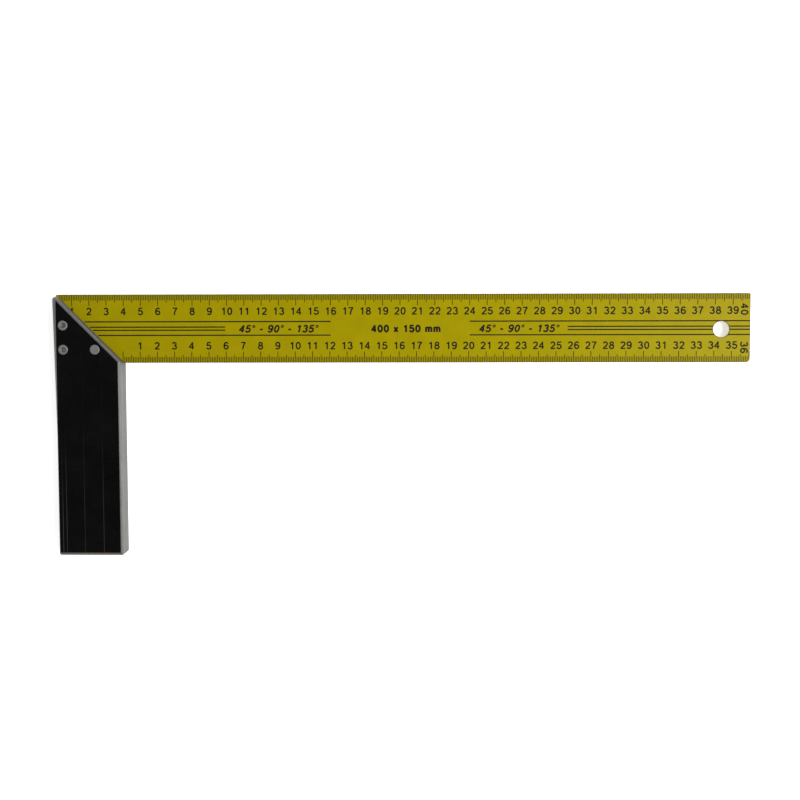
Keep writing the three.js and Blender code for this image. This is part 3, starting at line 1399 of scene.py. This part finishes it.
FIGURES: dict[str, tuple[Stroke, ...]] = {
    "0": (bow(0.388, 0.5, 0.262, 0.435, 0, 360),),
    "1": (bar((0.459, 0.0), (0.459, 1.0)), bar((0.44, 0.93), (0.33, 0.81), (0.18, 0.735), pen=THIN_PEN)),
    "2": (
        bow(0.385, 0.70, 0.262, 0.235, 168, -30),
        bar((0.617, 0.60), (0.50, 0.43), (0.27, 0.23), (0.12, 0.05)),
        bar((0.06, 0.0615), (0.705, 0.0615), pen=THIN_PEN),
    ),
    "3": (bow(0.370, 0.735, 0.235, 0.205, 165, -90), bow(0.375, 0.290, 0.280, 0.232, 90, -165)),
    "4": (
        bar((0.53, 0.97), (0.08, 0.31), pen=THIN_PEN),
        bar((0.018, 0.296), (0.708, 0.296), pen=THIN_PEN),
        bar((0.507, 0.0), (0.507, 1.0)),
    ),
    "5": (
        bar((0.17, 0.9385), (0.66, 0.9385), pen=THIN_PEN),
        bar((0.225, 0.97), (0.14, 0.49), pen=THIN_PEN),
        bow(0.375, 0.325, 0.285, 0.265, 142, -165),
    ),
    "6": (
        bow(0.395, 0.31, 0.265, 0.25, 0, 360),
        bow(0.42, 0.50, 0.295, 0.44, 200, 80),
        bow(0.42, 0.73, 0.24, 0.21, 100, 18),
    ),
    "7": (
        bar((0.07, 0.9385), (0.71, 0.9385), pen=THIN_PEN),
        bar((0.655, 0.93), (0.47, 0.66), (0.35, 0.34), (0.30, 0.0)),
    ),
    "8": (bow(0.388, 0.735, 0.215, 0.203, 0, 360), bow(0.388, 0.288, 0.268, 0.235, 0, 360)),
    "9": (
        bow(0.382, 0.69, 0.265, 0.25, 0, 360),
        bow(0.357, 0.50, 0.295, 0.44, 20, -100),
        bow(0.357, 0.27, 0.24, 0.21, -80, -162),
    ),
    "°": (bow(0.22, 0.83, 0.145, 0.145, 0, 360, pen=0.11),),
    "-": (bar((0.08, 0.40), (0.48, 0.40)),),
    "m": (
        bar((0.14, 0.0), (0.14, 0.72)),
        bow(0.33, 0.42, 0.19, 0.24, 180, 0),
        bar((0.52, 0.45), (0.52, 0.0)),
        bow(0.71, 0.42, 0.19, 0.24, 180, 0),
        bar((0.90, 0.45), (0.90, 0.0)),
    ),
    "x": (bar((0.10, 0.03), (0.60, 0.70)), bar((0.60, 0.03), (0.10, 0.70))),
}

# Widths of the figures that differ from the digits, and of a digit, in shares of the figure's height.
WIDTHS: dict[str, float] = {" ": 0.42, "°": 0.48, "-": 0.56, "m": 1.06, "x": 0.70}
FIGURE_WIDTH = 0.777


@dataclass(frozen=True)
class Word:
    """Figures set in a row.

    Attributes:
        text: The figures.
        along: Middle of the word along the blade.
        across: Its baseline across the blade, or its middle across when turned.
        height: Height of the figures.
        spacing: Added between figures.
        turned: Whether it reads down the blade's end.
    """

    text: str
    along: float
    across: float
    height: float
    spacing: float = 0.3
    turned: bool = False

    def advances(self) -> list[float]:
        """How far each figure moves the next one on."""
        return [WIDTHS.get(key, FIGURE_WIDTH) * self.height + self.spacing for key in self.text]


class Lettering:
    """A type case of pen-drawn figures, and the points that a word sets them on.

    Attributes:
        PICK: Attribute that picks a point's figure.
        TURN: Attribute that turns it.
        OVERLAP: How much thicker each next stroke of a figure is, so that crossing strokes never
            share a face.
    """

    PICK = "figure"
    TURN = "turn"
    OVERLAP = 0.1

    def __init__(self, shaper: Shaper, thickness: float, slant: float = 0.0, weight: float = 1.0) -> None:
        """Draw every figure once.

        Args:
            shaper: Makes the pieces.
            thickness: Thickness of the ink, in shares of the figure's height.
            slant: How far the figures lean forward, in shares of their height.
            weight: How many times wider than usual the pen is.
        """
        self.shaper = shaper
        self.thickness = thickness
        self.slant = slant
        self.weight = weight
        self.keys = sorted(FIGURES)
        self.case = bpy.data.collections.new("type_case")
        for index, key in enumerate(self.keys):
            mesh = bpy.data.meshes.new(f"figure_{index:02d}")
            form = bmesh.new()
            for order, stroke in enumerate(FIGURES[key]):
                self.draw(form, stroke, self.thickness * (1 + self.OVERLAP * order))
            bmesh.ops.recalc_face_normals(form, faces=form.faces)
            form.to_mesh(mesh)
            form.free()
            self.case.objects.link(bpy.data.objects.new(mesh.name, mesh))

    def draw(self, form: bmesh.types.BMesh, stroke: Stroke, thickness: float) -> None:
        """Add one stroke as a flat ribbon of ink.

        Args:
            form: The figure's mesh.
            stroke: The stroke.
            thickness: Thickness of the ribbon.
        """
        points = [Vector((x + self.slant * y, y, 0.0)) for x, y in stroke.points]
        count = len(points)
        sections = []
        for i, point in enumerate(points):
            before = points[i - 1] if i or stroke.closed else point
            after = points[(i + 1) % count] if i < count - 1 or stroke.closed else point
            course = (after - before).normalized()
            across = Vector((-course.y, course.x, 0.0)) * stroke.pen * self.weight / 2
            up = Vector((0.0, 0.0, thickness / 2))
            corners = (across + up, up - across, -across - up, across - up)
            sections.append([form.verts.new(point + corner) for corner in corners])
        pairs = list(zip(sections, sections[1:]))
        if stroke.closed:
            pairs.append((sections[-1], sections[0]))
        else:
            form.faces.new(sections[0])
            form.faces.new(list(reversed(sections[-1])))
        for start, end in pairs:
            for i in range(len(start)):
                after = (i + 1) % len(start)
                form.faces.new((start[i], start[after], end[after], end[i]))

    def points(self, name: str, words: Iterable[Word], side: Side, surface: float) -> bpy.types.Object:
        """Points that carry the figures of some words.

        Args:
            name: Name of the object.
            words: The words.
            side: The face they are printed on.
            surface: Height of the ink's middle.

        Returns:
            A mesh of loose points with the figure and turn attributes.
        """
        spots: list[Vector] = []
        picks: list[int] = []
        turns: list[float] = []
        reading = side.value
        for word in words:
            advances = word.advances()
            pen = -(sum(advances) - word.spacing) / 2
            for key, advance in zip(word.text, advances):
                if key != " ":
                    along, across = word.along + reading * pen, word.across
                    if word.turned:
                        along, across = word.along - word.height / 2, word.across - reading * pen
                    spots.append(self.shaper.datum.at(along, across, surface * reading))
                    picks.append(self.keys.index(key))
                    turns.append(-math.pi / 2 if word.turned else 0.0)
                pen += advance
        mesh = bpy.data.meshes.new(name)
        mesh.from_pydata(spots, [], [])
        mesh.attributes.new(self.PICK, "INT", "POINT").data.foreach_set("value", picks)
        mesh.attributes.new(self.TURN, "FLOAT", "POINT").data.foreach_set("value", turns)
        return self.shaper.place(name, mesh)

    def clear(self) -> None:
        """Remove the type case."""
        for thing in list(self.case.objects):
            bpy.data.objects.remove(thing)
        bpy.data.collections.remove(self.case)


@dataclass(frozen=True)
class Print:
    """The scales, figures and lines printed on both broad faces of the blade.

    Attributes:
        shaper: Makes the pieces.
        blade: The blade.
        ink_proud: How far the ink stands above the blade.
        ink_sunk: How far it reaches into the blade.
        line_width: Width of the division lines.
        short_line: Length of the lines between.
        middle_line: Length of every fifth line.
        long_line: Length of every tenth line.
        edge_gap: Bare lacquer between the lines and the blade's edge.
        last_line_gap: The same at the rounded tip, for the inner scale's last line.
        first_shown: First division of the outer scale that the heel leaves room for.
        inner_zero: Place along of the inner scale's zero.
        inner_length: Length of the inner scale.
        figure_height: Height of the scales' figures.
        outer_baseline: Baseline of the outer scale's figures.
        inner_baseline: Baseline of the inner scale's figures, from the blade's inner edge.
        end_figure_along: Place along of the turned figures at the tip.
        end_outer_across: Place across of the outer scale's turned figure.
        end_inner_across: Place across of the inner scale's turned figure.
        rule_heights: Places across of the four long lines, from the outer edge inwards.
        rule_width: Width of the long lines.
        rule_shoulder: How far along past a mitre line from the heel the long lines start.
        rule_end_gap: Bare lacquer between the long lines and the tip.
        outer_break: Where the first and last long lines stop and go on.
        inner_break: Where the two between stop and go on.
        hole_gap: Bare lacquer between the long lines and the hanging hole.
        word_across: Middle of the words between the long lines.
        angle_height: Height of the angles' figures.
        angle_alongs: Middles of the angles along the blade.
        angle_spacing: Added between their figures.
        angle_slant: How far they lean, in shares of their height.
        angle_weight: How many times wider than usual their pen is.
        size_height: Height of the size's figures.
        size_along: Middle of the size along the blade.
        size_spacing: Added between its figures.
        size_weight: How many times wider than usual its pen is.
    """

    shaper: Shaper
    blade: Blade
    ink_proud: float = 0.02
    ink_sunk: float = 0.01
    line_width: float = 0.4
    short_line: float = 3.3
    middle_line: float = 4.5
    long_line: float = 6.4
    edge_gap: float = 0.12
    last_line_gap: float = 1.3
    first_shown: int = 3
    inner_zero: float = 39.45
    inner_length: int = 360
    figure_height: float = 4.2
    outer_baseline: float = -11.85
    inner_baseline: float = 7.75
    end_figure_along: float = 396.55
    end_outer_across: float = -9.2
    end_inner_across: float = -31.0
    rule_heights: tuple[float, ...] = (-15.75, -18.85, -20.65, -23.6)
    rule_width: float = 0.7
    rule_shoulder: float = 1.6
    rule_end_gap: float = 0.2
    outer_break: tuple[float, float] = (160.0, 240.0)
    inner_break: tuple[float, float] = (99.0, 296.0)
    hole_gap: float = 0.2
    word_across: float = -19.9
    angle_height: float = 4.1
    angle_alongs: tuple[float, ...] = (129.6, 268.0)
    angle_spacing: float = 0.4
    angle_slant: float = 0.24
    angle_weight: float = 1.22
    size_height: float = 4.0
    size_along: float = 203.4
    size_spacing: float = 0.45
    size_weight: float = 1.45

    @property
    def surface(self) -> float:
        """Height of the ink's middle above the blade's mid-plane."""
        return self.blade.thickness / 2 + (self.ink_proud - self.ink_sunk) / 2

    @property
    def thickness(self) -> float:
        """Full thickness of the ink."""
        return self.ink_proud + self.ink_sunk

    def graduations(self, tree: bpy.types.NodeTree, ink: bpy.types.Material, side: Side) -> None:
        """Print the division lines of both scales on one face.

        Args:
            tree: The recipe that prints one scale's lines.
            ink: The ink.
            side: The face they are printed on.
        """
        scales = (
            ("outer", self.first_shown, int(self.blade.scale_length) - 1, 0.0, -self.edge_gap, -1.0),
            ("inner", 0, self.inner_length - 1, self.inner_zero, self.edge_gap - self.blade.width, 1.0),
        )
        for label, first, last, zero, edge, inward in scales:
            origin = self.shaper.datum.at(zero, edge, self.surface * side.value)
            source = Shaper.place(f"graduations_{label}_{side.label}", bpy.data.meshes.new("source"))
            values = {
                "Finish": ink,
                "Count": last - first + 1,
                "First": first,
                "Pitch": MM,
                "Zero": origin.x,
                "Edge": origin.y,
                "Surface": origin.z,
                "Inward": inward,
                "Short": self.short_line * MM,
                "Middle": self.middle_line * MM,
                "Long": self.long_line * MM,
                "Width": self.line_width * MM,
                "Thickness": self.thickness * MM,
            }
            dress(Recipes.run(source, tree, values), None, Slot.BLADE)

    def scale_words(self) -> list[Word]:
        """Centimetre figures of both scales.

        Returns:
            The figures, as words, each scale ending in the turned one at the tip.
        """
        size = self.figure_height
        inner_line = self.inner_baseline - self.blade.width
        scales = (
            (self.blade.scale_length, 0.0, self.outer_baseline, self.end_outer_across),
            (self.inner_length, self.inner_zero, inner_line, self.end_inner_across),
        )
        words = []
        for length, zero, baseline, end_across in scales:
            last = int(length / CENTIMETRE)
            words += [Word(str(n), zero + CENTIMETRE * n, baseline, size) for n in range(1, last)]
            words.append(Word(str(last), self.end_figure_along, end_across, size, turned=True))
        return words

    def angle_words(self) -> list[Word]:
        """The mitre's and the square's angles, once on each half of the blade.

        Returns:
            The words.
        """
        text, size = "45° - 90° - 135°", self.angle_height
        baseline = self.word_across - size / 2
        return [Word(text, along, baseline, size, self.angle_spacing) for along in self.angle_alongs]

    def size_words(self) -> list[Word]:
        """The square's size, in the middle of the blade."""
        baseline = self.word_across - self.size_height / 2
        return [Word("400 x 150 mm", self.size_along, baseline, self.size_height, self.size_spacing)]

    def figures(
        self,
        words: list[Word],
        case: Lettering,
        tree: bpy.types.NodeTree,
        ink: bpy.types.Material,
        side: Side,
        label: str,
    ) -> None:
        """Print some words of one height.

        Args:
            words: The words.
            case: The type they are set in.
            tree: The recipe that sets the figures on their points.
            ink: The ink.
            side: The face they are printed on.
            label: What they are called.
        """
        source = case.points(f"{label}_{side.label}", words, side, self.surface)
        flip = math.pi if side is Side.BACK else 0.0
        values = {"Finish": ink, "Type": case.case, "Height": words[0].height * MM, "Flip": flip}
        dress(Recipes.run(source, tree, values), None, Slot.BLADE)

    def rule_runs(self) -> list[tuple[float, float, float]]:
        """Where the long lines run.

        Returns:
            Start, end and place across of each run.
        """
        upper, upper_middle, lower_middle, lower = self.rule_heights
        end = self.blade.scale_length - self.rule_end_gap
        pairs = (((upper, lower), self.outer_break), ((upper_middle, lower_middle), self.inner_break))
        runs = []
        for heights, (stop, again) in pairs:
            for across in heights:
                runs += [(self.rule_shoulder - across, stop, across), (again, end, across)]
        return runs

    def rules(self, ink: bpy.types.Material, side: Side) -> None:
        """Print the long lines of one face, with the inner scale's last line, clear of the hanging hole.

        Args:
            ink: The ink.
            side: The face they are printed on.
        """
        level = self.surface * side.value
        half, tall = self.rule_width / 2, self.thickness / 2
        bottom, top = level - tall, level + tall

        def lines(form: bmesh.types.BMesh) -> None:
            """Add the lines.

            Args:
                form: The mesh to add to.
            """
            for start, end, across in self.rule_runs():
                Shaper.box(form, (start, across - half, bottom), (end, across + half, top))
            last, thin = self.inner_zero + self.inner_length, self.line_width / 2
            foot, reach = self.last_line_gap - self.blade.width, self.long_line - self.blade.width
            Shaper.box(form, (last - thin, foot, bottom), (last + thin, reach, top))

        def punch(form: bmesh.types.BMesh) -> None:
            """Add the cutter that keeps the hole clear."""
            along, across, radius = self.blade.hole
            Shaper.drill(form, circle(along, across, radius + self.hole_gap), CUT_OVERRUN, level)

        piece = self.shaper.piece(f"rules_{side.label}", lines)
        cutter = self.shaper.piece(f"rules_punch_{side.label}", punch)
        dress(self.shaper.cut(piece, [cutter]), ink, Slot.BLADE)

    def build(self, ink: bpy.types.Material) -> None:
        """Print both faces.

        Args:
            ink: The ink.
        """
        ticks, tree = Recipes.graduations(), Recipes.figures()
        plain = Lettering(self.shaper, self.thickness / self.figure_height)
        leaning = Lettering(
            self.shaper, self.thickness / self.angle_height, self.angle_slant, self.angle_weight
        )
        heavy = Lettering(self.shaper, self.thickness / self.size_height, weight=self.size_weight)
        texts = (
            ("figures", plain, self.scale_words()),
            ("angles", leaning, self.angle_words()),
            ("size", heavy, self.size_words()),
        )
        for side in Side:
            self.graduations(ticks, ink, side)
            for label, case, words in texts:
                self.figures(words, case, tree, ink, side, label)
            self.rules(ink, side)
        for _, case, _ in texts:
            case.clear()


# --------------------------------------------------------------------------------------------------
# Stock


@dataclass(frozen=True)
class Inset:
    """How far each side of the stock's outline moves in, and its two kinds of rounding.

    Attributes:
        foot: Inset of the sawn foot.
        inner: Inset of the inner side.
        mitre: Inset of the mitre.
        heel: Inset of the outer face at the heel.
        outer: Inset of the outer face below its ground part.
        foot_radius: Rounding of the foot's corners.
        apex_radius: Rounding of the corner between the mitre and the outer face.
    """

    foot: float
    inner: float
    mitre: float
    heel: float
    outer: float
    foot_radius: float
    apex_radius: float


@dataclass(frozen=True)
class Stock:
    """The aluminium stock: black broad faces, bare bevels and sides, and the slot for the blade.

    Attributes:
        shaper: Makes the pieces.
        length: Length from the blade's outer edge to the foot.
        thickness: Thickness.
        inner_x: Place along of the inner side.
        outer_x: Place along of the outer face.
        heel_x: Place along of the outer face at the heel, where it is ground.
        taper_length: Length of the ground part.
        mitre_step: Place along where the mitre's line meets the blade's outer edge.
        inner_corner: Rounding of the corner between the mitre and the inner side.
        bevel_depth: Depth of the bevels round the broad faces.
        slot_half: Half the width of the blade's slot.
        slot_floor: Depth of the slot from the blade's outer edge.
        side_overrun: How far the cutters run past the sides and the foot.
        heel_overrun: How far they run past the blade's outer edge.
        section: Outline of the sides.
        face: Outline of the black faces.
        die_lines: Place along, width and depth of the shallow lines in the broad faces.
        die_floor: Half width of a line's floor, in shares of its width.
        die_brim: Half width of a line at the face, in shares of its width.
        die_rise: How far the lines' cutters stand above the face.
    """

    shaper: Shaper
    length: float = 151.0
    thickness: float = 15.0
    inner_x: float = 39.3
    outer_x: float = 1.9
    heel_x: float = 0.4
    taper_length: float = 80.0
    mitre_step: float = 1.0
    inner_corner: float = 0.3
    bevel_depth: float = 1.0
    slot_half: float = 0.65
    slot_floor: float = 39.6
    side_overrun: float = 2.0
    heel_overrun: float = 3.0
    section: Inset = Inset(0.0, 0.0, 0.0, 0.0, 0.0, 0.8, 1.4)
    face: Inset = Inset(1.6, 1.4, 1.4, 2.2, 0.5, 0.3, 0.9)
    die_lines: tuple[tuple[float, float, float], ...] = (
        (4.6, 0.5, 0.2), (6.8, 0.5, 0.2), (17.3, 0.3, 0.1), (28.3, 0.3, 0.1),
    )
    die_floor: float = 0.3
    die_brim: float = 0.5
    die_rise: float = 0.3

    def ground_face(self, across: float, heel: float, plain: float) -> float:
        """Where the ground part of the outer face lies, its two ends moved in."""
        heel_x, plain_x = self.heel_x + heel, self.outer_x + plain
        return heel_x + (heel_x - plain_x) * across / self.taper_length

    def outline(self, inset: Inset) -> list[Vector]:
        """Outline of the stock seen from above, each side moved in by its inset.

        Args:
            inset: The insets.

        Returns:
            The points of the outline, anticlockwise.
        """
        foot = inset.foot - self.length
        inner, outer = self.inner_x - inset.inner, self.outer_x + inset.outer
        mitre = self.mitre_step - inset.mitre * math.sqrt(2)
        start = self.ground_face(0.0, inset.heel, inset.outer)
        taper = start - self.ground_face(-1.0, inset.heel, inset.outer)
        apex = (mitre - start) / (1 + taper)
        return rounded_outline([
            Corner(outer, foot, inset.foot_radius),
            Corner(inner, foot, inset.foot_radius),
            Corner(inner, mitre - inner, self.inner_corner),
            Corner(mitre - apex, apex, inset.apex_radius),
            Corner(outer, -self.taper_length),
        ])

    def rings(self) -> list[Ring]:
        """Levels of the stock, with every machined edge softened.

        Returns:
            The levels, from the lowest up.
        """
        face, section = self.outline(self.face), self.outline(self.section)
        half = self.thickness / 2
        # How far out from the black face's outline to the sides' each level lies, and how deep.
        steps = (
            (1.0, self.bevel_depth + 0.35), (1.0, self.bevel_depth + 0.08), (0.985, self.bevel_depth),
            (0.93, 0.93), (0.5, 0.5), (0.2, 0.2), (0.06, 0.06), (0.015, 0.015), (-0.04, 0.0), (-0.25, 0.0),
        )
        upper = [
            Ring([a.lerp(b, share) for a, b in zip(face, section)], half - depth) for share, depth in steps
        ]
        lower = [Ring(ring.outline, -ring.height) for ring in reversed(upper)]
        return lower + upper

    def slot_cutter(self, form: bmesh.types.BMesh) -> None:
        """Add the cutter of the blade's slot."""
        low = (-self.side_overrun, -self.slot_floor, -self.slot_half)
        Shaper.box(form, low, (self.inner_x + self.side_overrun, self.heel_overrun, self.slot_half))

    def rivet_cutters(self, form: bmesh.types.BMesh, spots: Sequence[RivetSpot]) -> None:
        """Add the cutters of the rivet holes."""
        for spot in spots:
            Shaper.drill(form, spot.hole, self.thickness / 2 + CUT_OVERRUN)

    def die_line_cutters(self, form: bmesh.types.BMesh) -> None:
        """Add the cutters of the shallow lines along both broad faces, their walls leaning outwards.

        Args:
            form: The mesh to add to.
        """
        half = self.thickness / 2
        foot, heel = -self.length - self.side_overrun, self.heel_overrun
        lean = self.die_brim - self.die_floor
        for along, width, depth in self.die_lines:
            brim = width * self.die_brim + self.die_rise * width * lean / depth
            levels = ((width * self.die_floor, half - depth), (brim, half + self.die_rise))
            for side in Side:
                rings = []
                for reach, level in levels[:: side.value]:
                    corners = ((-reach, foot), (reach, foot), (reach, heel), (-reach, heel))
                    outline = [Vector((along + x, y, 0.0)) for x, y in corners]
                    rings.append(Ring(outline, level * side.value))
                Shaper.loft(form, rings)

    def build(self, spots: Sequence[RivetSpot], finish: bpy.types.Material) -> None:
        """Make the stock.

        Args:
            spots: Where the rivets pass.
            finish: Its black and bare finish.
        """
        shaper = self.shaper
        body = shaper.piece("stock_body", lambda form: Shaper.loft(form, self.rings()))
        slot = shaper.piece("stock_slot", self.slot_cutter)
        drills = shaper.piece("stock_drills", lambda form: self.rivet_cutters(form, spots))
        lines = shaper.piece("stock_lines", self.die_line_cutters)
        body = shaper.cut(body, [slot, drills, lines])
        shaper.soften(body)
        dress(body, finish, Slot.STOCK, "stock")


# --------------------------------------------------------------------------------------------------
# Rivets


@dataclass(frozen=True)
class RivetSpot:
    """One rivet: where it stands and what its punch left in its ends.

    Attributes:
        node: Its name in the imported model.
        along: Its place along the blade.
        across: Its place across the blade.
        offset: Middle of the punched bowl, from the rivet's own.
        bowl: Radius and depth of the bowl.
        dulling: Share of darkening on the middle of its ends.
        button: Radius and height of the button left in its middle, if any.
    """

    node: str
    along: float
    across: float
    offset: tuple[float, float]
    bowl: tuple[float, float]
    dulling: float
    button: tuple[float, float] = (0.5, 0.0)

    @property
    def hole(self) -> list[Vector]:
        """Outline of its hole."""
        return circle(self.along, self.across, RIVET_HOLE_RADIUS, RIVET_SIDES)


@dataclass(frozen=True)
class Rivets:
    """The three pins that hold the blade in the stock's slot.

    Attributes:
        shaper: Makes the pieces.
        shelf: The shared effects.
        radius: Radius of a pin.
        length: Length of a pin.
        edge_break: How far the rims of its ends are rounded down.
        soften_degrees: Angle above which its edges stay sharp.
        spots: The rivets.
    """

    shaper: Shaper
    shelf: EffectShelf
    radius: float = 2.8
    length: float = 15.0
    edge_break: float = 0.12
    soften_degrees: float = 50.0
    spots: tuple[RivetSpot, ...] = (
        RivetSpot("rivet_heel", 6.4, -17.7, (0.15, 0.2), (1.8, 0.42), dulling=0.7),
        RivetSpot("rivet_outer", 6.4, -31.6, (0.1, 0.0), (1.8, 0.45), dulling=0.7, button=(0.9, 0.3)),
        RivetSpot("rivet_inner", 24.7, -31.6, (0.0, 0.0), (2.1, 0.06), dulling=0.15),
    )

    def build(self) -> None:
        """Make the three pins."""
        tree = Recipes.rivet()
        for spot in self.spots:
            name = f"{spot.node}_pin"
            finish = RivetFinish(
                self.shaper.datum,
                self.shelf,
                spot.along,
                spot.across,
                self.radius,
                f"{spot.node}_metal",
                spot.dulling,
            )
            source = Shaper.place(name, bpy.data.meshes.new("source"))
            values = {
                "Finish": finish.build(),
                "Middle": self.shaper.datum.at(spot.along, spot.across, 0.0),
                "Radius": self.radius * MM,
                "Length": self.length * MM,
                "Edge Break": self.edge_break * MM,
                "Bowl Offset": Vector((*spot.offset, 0.0)) * MM,
                "Bowl Radius": spot.bowl[0] * MM,
                "Bowl Depth": spot.bowl[1] * MM,
                "Button Radius": spot.button[0] * MM,
                "Button Height": spot.button[1] * MM,
            }
            pin = Recipes.run(source, tree, values)
            Shaper.soften(pin, self.soften_degrees)
            dress(pin, None, Slot.RIVET, spot.node)


# --------------------------------------------------------------------------------------------------
# Studio


@dataclass(frozen=True)
class Softbox:
    """A square area light aimed at the middle of the square.

    Attributes:
        name: Its name.
        place: Where it hangs, in metres from the frame's origin.
        size: Its side, in metres.
        power: Its power, in watts.
    """

    name: str
    place: tuple[float, float, float]
    size: float
    power: float


@dataclass(frozen=True)
class Studio:
    """Floor, soft light and camera.

    Attributes:
        datum: Where the square's millimetres lie.
        floor_size: Side of the floor, in metres.
        floor_color: Colour of the floor.
        floor_glow: Light that the floor adds of its own.
        sky: Strength of the white surroundings.
        camera_place: Place of the camera.
        camera_turn: Its turn from looking straight down, as an axis scaled by degrees.
        lens: Focal length of the camera.
        sensor: Width of its sensor.
        clip: Nearest and farthest it sees, in metres.
        softboxes: The lights.
    """

    datum: Datum
    floor_size: float = 12.0
    floor_color: Color = (0.93, 0.93, 0.93, 1.0)
    floor_glow: float = 0.5
    sky: float = 0.55
    camera_place: tuple[float, float, float] = (220.8, -9.3, 741.2)
    camera_turn: tuple[float, float, float] = (-4.0, 1.613, -0.07)
    lens: float = 57.9
    sensor: float = 36.0
    clip: tuple[float, float] = (0.01, 50.0)
    softboxes: tuple[Softbox, ...] = (
        Softbox("key_right", (0.62, 0.05, 0.95), 0.6, 14.9),
        Softbox("glint", (0.66, 0.02, 0.95), 0.12, 1.8),
        Softbox("fill_left", (-1.1, -0.3, 1.0), 1.4, 0.6),
        Softbox("fill_front", (0.0, -1.3, 1.1), 1.4, 2.5),
        Softbox("fill_back", (0.0, 1.3, 1.1), 1.4, 2.5),
    )

    def camera(self) -> None:
        """Set the camera over the middle of the blade."""
        data = bpy.data.cameras.new("camera")
        data.lens = self.lens
        data.sensor_width = self.sensor
        data.clip_start, data.clip_end = self.clip
        camera = bpy.data.objects.new("camera", data)
        bpy.context.scene.collection.objects.link(camera)
        turn = Vector(math.radians(angle) for angle in self.camera_turn)
        camera.rotation_mode = "QUATERNION"
        camera.rotation_quaternion = Quaternion(turn.normalized(), turn.length)
        camera.location = self.datum.at(*self.camera_place)
        bpy.context.scene.camera = camera

    def lights(self) -> None:
        """Hang the softboxes and set the pale surroundings."""
        for box in self.softboxes:
            data = bpy.data.lights.new(box.name, "AREA")
            data.size = box.size
            data.energy = box.power
            lamp = bpy.data.objects.new(box.name, data)
            bpy.context.scene.collection.objects.link(lamp)
            lamp.location = box.place
            lamp.rotation_mode = "QUATERNION"
            lamp.rotation_quaternion = (-Vector(box.place)).to_track_quat("-Z", "Y")
        world = bpy.data.worlds.new("studio")
        world.use_nodes = True
        backdrop = world.node_tree.nodes["Background"]
        backdrop.inputs["Color"].default_value = WHITE
        backdrop.inputs["Strength"].default_value = self.sky
        bpy.context.scene.world = world
        bpy.context.scene.view_settings.view_transform = "Standard"

    def floor(self) -> None:
        """Lay the plain floor."""
        half = self.floor_size / 2
        mesh = bpy.data.meshes.new("floor")
        corners = [(-half, -half, 0), (half, -half, 0), (half, half, 0), (-half, half, 0)]
        mesh.from_pydata(corners, [], [(0, 1, 2, 3)])
        floor = Shaper.place("floor", mesh)
        material = bpy.data.materials.new("floor_paper")
        material.use_nodes = True
        bench = Bench(material.node_tree)
        Finish.close(
            bench,
            Base_Color=self.floor_color,
            Roughness=0.9,
            Specular_IOR_Level=0.1,
            Emission_Color=self.floor_color,
            Emission_Strength=self.floor_glow,
        )
        mesh.materials.append(material)

    def build(self) -> None:
        """Set up the whole studio."""
        self.floor()
        self.lights()
        self.camera()


# --------------------------------------------------------------------------------------------------
# Assembly


def dress(
    piece: bpy.types.Object, finish: bpy.types.Material | None, slot: Slot, node: str | None = None
) -> None:
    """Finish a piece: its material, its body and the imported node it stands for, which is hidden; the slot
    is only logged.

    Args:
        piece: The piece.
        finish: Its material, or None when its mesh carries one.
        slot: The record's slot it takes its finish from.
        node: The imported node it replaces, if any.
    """
    if finish is not None:
        piece.data.materials.clear()
        piece.data.materials.append(finish)
    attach(piece, BODY)
    if node:
        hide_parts(node)
    log.info("%s: %d faces, %s", piece.name, len(piece.data.polygons), slot.value)


def main() -> None:
    """Build the square and its studio."""
    logging.basicConfig(level=logging.INFO, format="%(name)s %(message)s")
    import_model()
    datum = Datum.from_frame(Blade.scale_length)
    shaper = Shaper(datum)
    shelf = EffectShelf()

    Studio(datum).build()
    rivets = Rivets(shaper, shelf)
    blade = Blade(shaper)
    lacquer = LacquerFinish(datum, shelf, blade.width, blade.scale_length, blade.hole).build()
    blade.build(rivets.spots, lacquer)
    Print(shaper, blade).build(InkFinish(datum, shelf).build())
    stock = Stock(shaper)
    stock.build(rivets.spots, StockFinish(datum, shelf, stock).build())
    rivets.build()


if __name__ == "__main__":
    main()
